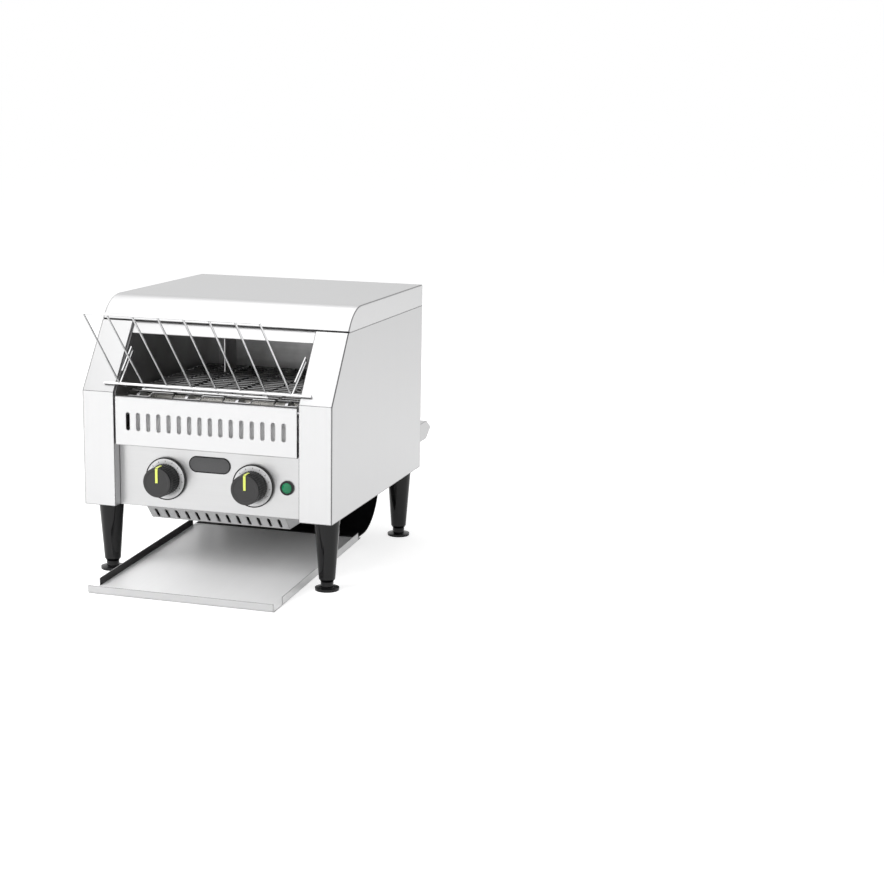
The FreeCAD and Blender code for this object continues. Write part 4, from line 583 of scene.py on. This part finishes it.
class TOASTER_OT_heating_tubes(Operator):
    """Make the milky quartz tubes with a coiled filament in each"""
    bl_idname = "toaster.heating_tubes"
    bl_label = "Heating tubes"

    def execute(self, context):
        wires = context.scene.toaster_wires
        quartz = moulded(
            "milky_quartz", (0.90, 0.88, 0.84), 0.28, size=600.0, mottle=0.06, relief=0.05,
            Metallic=0.0, Transmission_Weight=0.7, IOR=1.46)
        filament = brushed("filament_wire", (0.35, 0.30, 0.26), 0.4, (900, 900, 900), streak=0.2)
        skins, coils = [], []
        melt, margin, coil_wire, per_turn = 0.0003, 0.012, 0.0005, 10
        for low, high in solids_of("heating_elements"):
            centre, radius = (low + high) / 2, (high[1] - low[1]) / 2
            bore, coil_radius = radius * 0.8, radius * 0.55
            left, right = low[0], high[0]
            profile = [(bore, left), (radius - melt, left), (radius, left + melt), (radius, right - melt),
                       (radius - melt, right), (bore, right)]
            skins.append(turned(profile, centre, axis="x", sides=32, open_ends=True))
            reach = np.linspace(left + margin, right - margin, wires.coil_turns * per_turn + 1)
            turn = np.linspace(0, 2 * np.pi * wires.coil_turns, len(reach))
            across, up = coil_radius * np.cos(turn), coil_radius * np.sin(turn)
            coil = np.stack([reach, centre[1] + across, centre[2] + up], axis=-1)
            coils.append(wire(coil, coil_wire, (1, 0, 0), sides=5, domed=False))
        piece("quartz_tubes", skins, quartz, "casing", ["heating_elements"])
        piece("filament_coils", coils, filament, "casing")
        return {"FINISHED"}


def values_of(elements, key, width, kind=np.float32):
    """One row of values for each of a mesh's vertices, edges or faces."""
    flat = np.empty(len(elements) * width, kind)
    elements.foreach_get(key, flat)
    return flat.reshape(-1, width)


def solids_of(node):
    """The corners of each separate solid of a node: vertices are joined where they meet, and each joined
    set gives its lowest and highest corner."""
    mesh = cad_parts[node].data
    points = values_of(mesh.vertices, "co", 3).astype(float)
    ends = values_of(mesh.edges, "vertices", 2, np.int64)
    keys, same = np.unique(np.round(points, 5), axis=0, return_inverse=True)
    label = np.arange(len(keys))
    a, b = same.reshape(-1)[ends].T
    while True:
        lowest = np.minimum(label[a], label[b])
        fresh = label.copy()
        np.minimum.at(fresh, a, lowest)
        np.minimum.at(fresh, b, lowest)
        fresh = fresh[fresh]
        if (fresh == label).all():
            break
        label = fresh
    return [(keys[label == each].min(axis=0), keys[label == each].max(axis=0)) for each in np.unique(label)]


class TOASTER_OT_pan_and_tray(Operator):
    """Dress the slotted pan, the return chute, the tray and its rests"""
    bl_idname = "toaster.pan_and_tray"
    bl_label = "Pan and tray"

    def execute(self, context):
        look = context.scene.toaster_finish
        sheet = 0.0015
        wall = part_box("collection_tray")[1][0] - sheet
        dress(brushed("pan_rolled_sheet", look.pan_colour, 0.46, SHEET, streak=0.12, line=0.4, Metallic=0.15),
              "deflector_pan", "tray_rests")
        # Painted reflection and shade: the walls' inner faces are painted near black for the dark they
        # reflect, and faces towards the front are painted darker as shade on the lip
        dress(brushed("tray_bright_sheet", look.tray_colour, 0.34, (500, 7, 500), streak=0.10, relief=0.05,
                      line=0.5, Metallic=0.2, Specular_IOR_Level=0.2,
                      painted_flanks=[("Inward", wall, (0.012, 0.012, 0.012)), ("Ahead", 0.0, (0.56, 0.56, 0.563))]),
              "collection_tray")
        dress(moulded("chute_black_enamel", (0.006, 0.006, 0.0065), 0.32, size=700.0, mottle=0.15,
                      relief=0.08, level=0.25),
              "return_chute")
        return {"FINISHED"}


class TOASTER_OT_legs(Operator):
    """Dress the tapered legs and the levelling feet"""
    bl_idname = "toaster.legs"
    bl_label = "Legs"

    def execute(self, context):
        dress(moulded("leg_gloss_black", (0.004, 0.004, 0.0045), 0.07, size=500.0, mottle=0.1, relief=0.01,
                      level=0.28),
              "legs")
        dress(moulded("foot_satin_black", (0.006, 0.006, 0.0065), 0.26, relief=0.1, level=0.28),
              "front_left_foot", "front_right_foot", "rear_left_foot", "rear_right_foot")
        return {"FINISHED"}


def knob_skin(low, high, flutes, depth):
    """A knob turned about Y. Its face has a shallow dish inside a narrow ring, a rounded edge and a skirt
    that widens to the back. The skirt's radius dips by depth * (0.5 + 0.5 * cos(flutes * a))^2, fading in
    over the first rows behind the face."""
    centre, rim, front, back = round_extent(low, high)
    face = rim - 0.001
    edge = 0.0015
    dish = 0.0005
    ring = 0.0040
    blend = 0.0004
    bend = np.linspace(0, np.pi / 2, 7)
    rounding = [(face - edge + edge * math.sin(a), front + edge - edge * math.cos(a)) for a in bend]
    skirt = np.linspace(0, 1, 9)[1:]
    rows = [(blend, front + dish), (face - ring - blend, front + dish), (face - ring, front + dish / 5),
            (face - ring + blend, front)]
    rows += rounding
    first = len(rows)
    rows += [(face + (rim - face) * s, front + edge + (back - front - edge) * s) for s in skirt]

    def ripple(angle, row):
        wave = (0.5 + 0.5 * np.cos(flutes * angle)) ** 2
        fade = np.clip((row - first + 0.5) / 1.5, 0, 1)
        return -depth * wave * fade

    return turned(rows, centre, sides=flutes * 10, ripple=ripple)


def front_faces(thing, limit):
    """Gives the second material to the faces whose centre lies in front of a limit."""
    polygons = thing.data.polygons
    ahead = values_of(polygons, "center", 3)[:, 1] < limit
    polygons.foreach_set("material_index", ahead.astype(np.int32))


class TOASTER_OT_knobs(Operator):
    """Make the fluted knobs with a dished face and dress their pointers"""
    bl_idname = "toaster.knobs"
    bl_label = "Knobs"

    def execute(self, context):
        look = context.scene.toaster_finish
        control = context.scene.toaster_controls
        pointer = moulded("pointer_paint", look.pointer_colour, 0.42, mottle=0.08, relief=0.05)
        face_depth = 0.0007
        for name, body in (("selector", "selector"), ("speed", "speed_dial")):
            low, high = extent(f"{name}_knob")
            face = moulded(
                f"{name}_knob_face", look.knob_colour, 0.50, size=1400.0, mottle=0.4, relief=0.3, level=0.35)
            skirt = moulded(
                f"{name}_knob_skirt", look.skirt_colour, 0.24, size=1400.0, mottle=0.3, relief=0.15,
                level=0.12)
            skin = knob_skin(low, high, control.flute_count, control.flute_depth)
            knob = piece(f"{name}_fluted_knob", [skin], [skirt, face], body, [f"{name}_knob"])
            front_faces(knob, low[1] + face_depth)
            dress(pointer, f"{name}_pointer")
        return {"FINISHED"}


class TOASTER_OT_dial_plates(Operator):
    """Make the spun dial plates with their marks and black rims"""
    bl_idname = "toaster.dial_plates"
    bl_label = "Dial plates"

    def execute(self, context):
        control = context.scene.toaster_controls
        paint = moulded("dial_mark_paint", (0.10, 0.10, 0.105), 0.5)
        gloss = moulded("rim_black", (0.006, 0.006, 0.006), 0.25, mottle=0.1, relief=0.05, level=0.3)
        rim_width, bore = 0.0016, 0.005
        groove_inset, groove_width, groove_depth = 0.0100, 0.0010, 0.0004
        mark_inset, mark_length, mark_width = 0.0060, 0.0020, 0.0008
        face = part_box("knob_bezels")[0][1]
        marks, hoops = [], []
        for number, (low, high) in enumerate(solids_of("bezel_rims")):
            centre, outer, front, back = round_extent(low, high)
            inner = outer - rim_width
            turn = np.linspace(0, np.pi, 7)
            wide = (outer - inner) / 2
            crown = [(inner + wide - wide * math.cos(a), front + wide * 0.8 * (1 - math.sin(a)))
                     for a in turn]
            section = [(inner, back)] + crown + [(outer, back)]
            hoops.append(turned(section, centre, sides=128, open_ends=True))
            plate = spun(
                f"dial_plate_spun_{number + 1}", (0.74, 0.74, 0.745), 0.42, tuple(centre), pitch=0.0006,
                shade=0.6, Metallic=0.25)
            middle, lip = outer - groove_inset, groove_width / 2
            section = [(bore, back), (bore, face), (middle - lip, face), (middle, face + groove_depth),
                       (middle + lip, face), (inner, face), (inner, back)]
            ring = turned(section, centre, sides=128, open_ends=True)
            piece(f"dial_plate_{number + 1}", [ring], plate, "casing")
            for angle in np.radians(np.linspace(-120, 120, control.mark_count)):
                start = outer - mark_inset
                marks.append(mark_skin(centre, angle, start, start + mark_length, face, mark_width))
        piece("dial_marks", marks, paint, "casing")
        piece("dial_rims", hoops, gloss, "casing", ["bezel_rims", "knob_bezels"])
        return {"FINISHED"}


def mark_skin(centre, angle, inner, outer, face, width):
    """A thin painted bar on the plate: a flat box whose long side points away from the dial's centre."""
    out = np.array([math.sin(angle), 0, math.cos(angle)])
    side = np.array([math.cos(angle), 0, -math.sin(angle)])
    sunk, proud = 0.0002, 0.00008
    corners = [(inner, -1), (outer, -1), (outer, 1), (inner, 1)]
    return loft(np.array([[
        np.array([centre[0], place, centre[2]]) + out * reach + side * sign * width / 2
        for reach, sign in corners] for place in (face + sunk, face - proud)]))


class TOASTER_OT_badge(Operator):
    """Make the plain pill-shaped badge with a raised black border"""
    bl_idname = "toaster.badge"
    bl_label = "Badge"

    def execute(self, context):
        low, high = extent("badge_plate")
        centre, reach, front, back = round_extent(low, high)
        radius = (high[2] - low[2]) / 2
        half = reach - radius

        def pill(inset, place):
            angle = np.linspace(0, 2 * np.pi, 96, endpoint=False)
            across, up = (radius - inset) * np.cos(angle), (radius - inset) * np.sin(angle)
            shift = half * np.sign(np.round(np.cos(angle), 9))
            return np.stack([centre[0] + shift + across, np.full(96, place), centre[2] + up], axis=-1)

        border = moulded(
            "badge_black_border", (0.005, 0.005, 0.0055), 0.22, mottle=0.1, relief=0.04, level=0.3)
        enamel = moulded(
            "badge_dark_enamel", (0.075, 0.075, 0.077), 0.40, mottle=0.6, relief=0.1, level=0.35)
        width = 0.0015
        # Each row is an inset from the outline and a place: first round the raised border, then the face
        rows = [(0.0, back), (0.0, front + 0.0005), (0.0002, front + 0.00015), (0.0006, front),
                (0.0011, front), (0.0014, front + 0.0002), (width, front + 0.0006), (width, back)]
        piece("badge_border", [loft(np.stack([pill(*row) for row in rows]), open_ends=True)], border,
              "casing", ["badge_plate"])
        inside = width + 0.00002
        rows = [(inside, back), (inside, front + 0.0005), (0.0018, front + 0.00035), (0.0026, front + 0.0003)]
        piece("badge_face", [loft(np.stack([pill(*row) for row in rows]))], enamel, "casing")
        return {"FINISHED"}


class TOASTER_OT_pilot_light(Operator):
    """Make the faceted green lens in its black collar"""
    bl_idname = "toaster.pilot_light"
    bl_label = "Pilot light"

    def execute(self, context):
        look = context.scene.toaster_finish
        centre, radius, front, back = round_extent(*extent("pilot_lens"))
        lens = moulded(
            "pilot_green_lens", look.lens_colour, 0.16, size=300.0, mottle=0.3, relief=0.02, level=0.35)
        facets, facet_depth, blend_rows = 12, 0.00022, 4
        turn = np.linspace(0.12, np.pi / 2, 9)
        dome = (back - front) * 0.42
        rows = [(radius * math.sin(a), front + dome * (1 - math.cos(a))) for a in turn] + [(radius, back)]

        def ripple(angle, row):
            dip = facet_depth * (0.5 + 0.5 * np.cos(facets * angle))
            return -dip * np.clip(row, 0, blend_rows) / blend_rows * (row < len(turn))

        skin = turned(rows, centre, ripple=ripple)
        piece("pilot_faceted_lens", [skin], lens, "casing", ["pilot_lens"])
        dress(moulded("control_moulding", (0.007, 0.007, 0.0075), 0.35, size=1200.0, relief=0.1, level=0.3),
              "pilot_housing", "cable_gland", "selector_switch", "speed_controller", "terminal_block",
              "fan_housing", "fan_impeller")
        return {"FINISHED"}


class TOASTER_OT_loading_rack(Operator):
    """Dress the wire rack that hangs on the shoulders in front of the mouth"""
    bl_idname = "toaster.loading_rack"
    bl_label = "Loading rack"

    def execute(self, context):
        # Painted shade: faces of the wires that turn downwards take a dark tone
        dress(brushed("rack_chrome", (0.67, 0.67, 0.675), 0.16, (300, 300, 300), streak=0.2, relief=0.03,
                      painted_flanks=[("Under", 0.0, (0.12, 0.12, 0.122))]),
              "loading_rack")
        return {"FINISHED"}


def belt_corners(first, second, radius, teeth, steps):
    """The belt's corners in the plane of Y and Z: a straight run of even steps over the wheels, the second
    wheel's half turn, the run back and the first wheel's half turn."""
    share = np.arange(steps) / steps
    half = np.arange(teeth // 2) * 2 * np.pi / teeth
    run, back, up = second[0] - first[0], radius * np.sin(half), radius * np.cos(half)
    over = [first[0] + run * share, np.full(steps, first[1] + radius)]
    under = [second[0] - run * share, np.full(steps, first[1] - radius)]
    round_second = [second[0] + back, second[1] + up]
    round_first = [first[0] - back, first[1] - up]
    return np.concatenate([over, round_second, under, round_first], axis=1).T


class TOASTER_OT_belt(Operator):
    """Make the wire belt with rounded cranks, one cross wire at each corner of the belt's path"""
    bl_idname = "toaster.belt"
    bl_label = "Belt"

    def execute(self, context):
        wires = context.scene.toaster_wires
        pitch, thick = wires.belt_pitch, wires.belt_wire
        low, high = extent("conveyor_belt")
        half = high[0] - thick / 2
        teeth, corner_radius, clearance = 8, 0.0042, 0.0003
        radius = pitch / (2 * math.sin(math.pi / teeth))
        middle = (low[2] + high[2]) / 2
        first, second = (float(sum(extent(name))[1]) / 2 for name in ("idler_shaft", "drive_shaft"))
        steps = round((second - first) / pitch)
        corners = belt_corners((first, middle), (second, middle), radius, teeth, steps)
        reach = pitch - thick - clearance
        line = [(-half, reach), (-half, 0)]
        for place in (-wires.crank_pitch, 0, wires.crank_pitch):
            wide = wires.crank_width / 2
            line += [(place - wide, 0), (place - wide, reach), (place + wide, reach), (place + wide, 0)]
        line += [(half, 0), (half, reach)]
        flat = rounded([(x, y, 0) for x, y in line], corner_radius)
        ahead = np.roll(corners, -1, axis=0) - corners
        ahead /= np.linalg.norm(ahead, axis=1, keepdims=True)
        skins = []
        for (back, height), (along, up) in zip(corners, ahead):
            path = np.stack([flat[:, 0], back + flat[:, 1] * along, height + flat[:, 1] * up], axis=-1)
            skins.append(wire(path, thick / 2, (0, -up, along), sides=8))
        tint = ((0.14, 0.135, 0.13), 0.5)
        # Painted shade: faces of the belt's wires that turn downwards take a dark tone
        steel = brushed(
            "belt_wire_steel", (0.50, 0.50, 0.502), 0.20, (400, 400, 400), streak=0.3, tint=tint,
            painted_flanks=[("Under", 0.0, (0.05, 0.05, 0.051))])
        piece("wire_belt", skins, steel, "casing", ["conveyor_belt"])
        return {"FINISHED"}


class TOASTER_OT_drive(Operator):
    """Dress the shafts, sprockets, chain, bearings, motor and spindles"""
    bl_idname = "toaster.drive"
    bl_label = "Drive"

    def execute(self, context):
        dress(brushed("machined_steel", (0.48, 0.48, 0.49), 0.30, (60, 900, 900), streak=0.2),
              "drive_shaft", "idler_shaft", "drive_belt_sprockets", "idler_belt_sprockets", "shaft_sprocket",
              "motor_sprocket", "drive_chain", "shaft_bearings", "motor_shaft", "selector_spindle",
              "speed_spindle", "leg_nuts")
        dress(brushed("gear_case_casting", (0.42, 0.425, 0.43), 0.5, (300, 300, 300), streak=0.25,
                      relief=0.3),
              "gear_motor")
        return {"FINISHED"}


def screw_skin(centre, outward_axis, radius, height):
    """A pan head turned about its axis: a flat seat, a rounded shoulder, a low crown and a round recess."""
    axis, sign = outward_axis
    seat = centre["xyz".index(axis)]
    shoulder, wall = 0.7, 0.2
    bend = np.linspace(0, np.pi / 2, 6)
    rows = [(radius - height * shoulder * (1 - math.cos(a)), height * (wall + (1 - wall) * math.sin(a)))
            for a in bend]
    recess = [(radius * 0.42, height), (radius * 0.38, height * 0.55), (0.0003, height * 0.45)]
    rows = [(r, sign * h + seat) for r, h in [(radius, 0.0), *rows, *recess]]
    return turned(rows, centre, axis=axis, sides=32)


class TOASTER_OT_screws(Operator):
    """Make the recessed pan heads of the casing screws"""
    bl_idname = "toaster.screws"
    bl_label = "Screws"

    def execute(self, context):
        steel = FINISHES["machined_steel"]
        panel_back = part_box("rear_panel")[1][1]
        skins = []
        for low, high in solids_of("casing_screws"):
            centre = (low + high) / 2
            if high[1] > panel_back:
                axis, seat = ("y", 1), (centre[0], panel_back, centre[2])
                radius, height = (high[0] - low[0]) / 2, high[1] - panel_back
            else:
                inward = -1 if centre[0] > 0 else 1
                axis, seat = ("x", inward), (high[0] if inward < 0 else low[0], centre[1], centre[2])
                radius, height = (high[1] - low[1]) / 2, high[0] - low[0]
            skins.append(screw_skin(seat, axis, radius, height))
        piece("screw_heads", skins, steel, "casing", ["casing_screws"])
        return {"FINISHED"}


class TOASTER_OT_stage(Operator):
    """Set up the pale floor, the soft lamps, the surround and the camera"""
    bl_idname = "toaster.stage"
    bl_label = "Stage"

    def execute(self, context):
        stage = context.scene.toaster_stage
        make_floor()
        make_surround(stage.surround)
        softbox("front_lamp", (-0.8, -2.7, 0.75), (0, -0.1, 0.22), 2.0, 1.2, stage.front_light)
        softbox("high_lamp", (-0.6, 0.1, 2.5), (-0.6, 0.101, 0.2), 1.8, 4.2, stage.high_light)
        wide = softbox("wide_lamp", (2.2, -2.6, 1.0), (0.0, -0.1, 0.1), 3.0, 1.5, stage.wide_light)
        wide.visible_diffuse = False
        key = softbox("key_lamp", (-1.25, -1.55, 1.45), (-0.05, -0.2, 0.05), 1.4, 1.4, stage.key_light)
        key.visible_glossy = False
        make_camera(stage.lens)
        context.scene.view_settings.view_transform = "Standard"
        return {"FINISHED"}


def empty_tree(owner):
    """The emptied tree of a material or a world, and its first value: 1 for what the camera, a reflection
    or a glass sees, and 0 for the light that falls on matt faces."""
    owner.use_nodes = True
    tree = owner.node_tree
    tree.nodes.clear()
    path = add(tree, "LightPath").outputs
    seen = sum_of(tree, path["Is Camera Ray"], path["Is Glossy Ray"], kind="MAXIMUM")
    return tree, sum_of(tree, seen, path["Is Transmission Ray"], kind="MAXIMUM")


def make_floor():
    """A pale floor under the object, wide enough to reach past the view."""
    mesh = bpy.data.meshes.new("floor")
    reach = 40.0
    around = ((-reach, -reach, 0), (reach, -reach, 0), (reach, reach, 0), (-reach, reach, 0))
    mesh.from_pydata(around, [], [(0, 1, 2, 3)])
    material = bpy.data.materials.new("floor_pale")
    tree, seen = empty_tree(material)
    plain = add(tree, "BsdfDiffuse", {"Color": (0.62, 0.62, 0.62, 1)}).outputs[0]
    matt = add(tree, "BsdfDiffuse", {"Color": (0.56, 0.56, 0.56, 1)}).outputs[0]
    glow = add(tree, "Emission", {"Color": (1, 1, 1, 1), "Strength": 0.72}).outputs[0]
    bright = add(tree, "AddShader", {0: matt, 1: glow}).outputs[0]
    mixed = add(tree, "MixShader", {0: seen, 1: plain, 2: bright}).outputs[0]
    add(tree, "OutputMaterial", {0: mixed})
    mesh.materials.append(material)
    placed("floor", mesh)


def make_surround(strength):
    """Even light from all round, and white behind the object for the eye and for reflections."""
    world = bpy.data.worlds.new("surround")
    bpy.context.scene.world = world
    tree, seen = empty_tree(world)
    level = sum_of(tree, seen, 1.0 - strength, strength)
    light = add(tree, "Background", {"Color": (1, 1, 1, 1), "Strength": level}).outputs[0]
    add(tree, "OutputWorld", {0: light})


def softbox(name, place, target, width, height, power):
    """A large soft lamp aimed at a point."""
    lamp = bpy.data.lights.new(name, "AREA")
    lamp.shape = "RECTANGLE"
    lamp.size = width
    lamp.size_y = height
    lamp.energy = power
    thing = placed(name, lamp)
    thing.location = place
    thing.rotation_euler = (Vector(target) - Vector(place)).to_track_quat("-Z", "Y").to_euler()
    return thing


def make_camera(lens):
    """The camera of the photograph's view: its direction, distance and slight roll."""
    azimuth, elevation, roll = (math.radians(angle) for angle in (16.32, 11.46, 0.96))
    place = Vector((0.956354, -2.297310, 0.675330))
    back = Vector((math.sin(azimuth) * math.cos(elevation), -math.cos(azimuth) * math.cos(elevation),
                   math.sin(elevation)))
    right = (-back).cross(Vector((0, 0, 1))).normalized()
    up = right.cross(-back)
    across = right * math.cos(roll) + up * math.sin(roll)
    above = up * math.cos(roll) - right * math.sin(roll)
    camera = bpy.data.cameras.new("camera")
    camera.lens = lens
    camera.sensor_width = 36.0
    camera.clip_end = 200.0
    thing = placed("camera", camera)
    turn = Matrix((across, above, back)).transposed().to_4x4()
    thing.matrix_world = Matrix.Translation(place) @ turn
    bpy.context.scene.camera = thing


OPERATORS = (
    TOASTER_OT_casing,
    TOASTER_OT_chamber,
    TOASTER_OT_heating_tubes,
    TOASTER_OT_pan_and_tray,
    TOASTER_OT_legs,
    TOASTER_OT_knobs,
    TOASTER_OT_dial_plates,
    TOASTER_OT_badge,
    TOASTER_OT_pilot_light,
    TOASTER_OT_loading_rack,
    TOASTER_OT_belt,
    TOASTER_OT_drive,
    TOASTER_OT_screws,
    TOASTER_OT_stage,
)


class TOASTER_PT_panel(Panel):
    """The toaster's settings and pieces"""
    bl_label = "Conveyor toaster"
    bl_idname = "TOASTER_PT_panel"
    bl_space_type = "VIEW_3D"
    bl_region_type = "UI"
    bl_category = "Toaster"

    def draw(self, context):
        for settings in SETTINGS:
            group = getattr(context.scene, settings)
            box = self.layout.box()
            for key in group.__annotations__:
                box.prop(group, key)
        for operator in OPERATORS:
            self.layout.operator(operator.bl_idname)


SETTINGS = {
    "toaster_finish": ToasterFinishSettings,
    "toaster_controls": ToasterControlSettings,
    "toaster_wires": ToasterWireSettings,
    "toaster_stage": ToasterStageSettings,
}
CLASSES = (*SETTINGS.values(), *OPERATORS, TOASTER_PT_panel)


def register():
    for each in CLASSES:
        bpy.utils.register_class(each)
    for key, group in SETTINGS.items():
        setattr(bpy.types.Scene, key, PointerProperty(type=group))


def unregister():
    for key in SETTINGS:
        delattr(bpy.types.Scene, key)
    for each in reversed(CLASSES):
        bpy.utils.unregister_class(each)


def main():
    """Dresses the toaster piece by piece."""
    register()
    for operator in OPERATORS:
        group, name = operator.bl_idname.split(".")
        getattr(getattr(bpy.ops, group), name)()


if __name__ == "__main__":
    main()
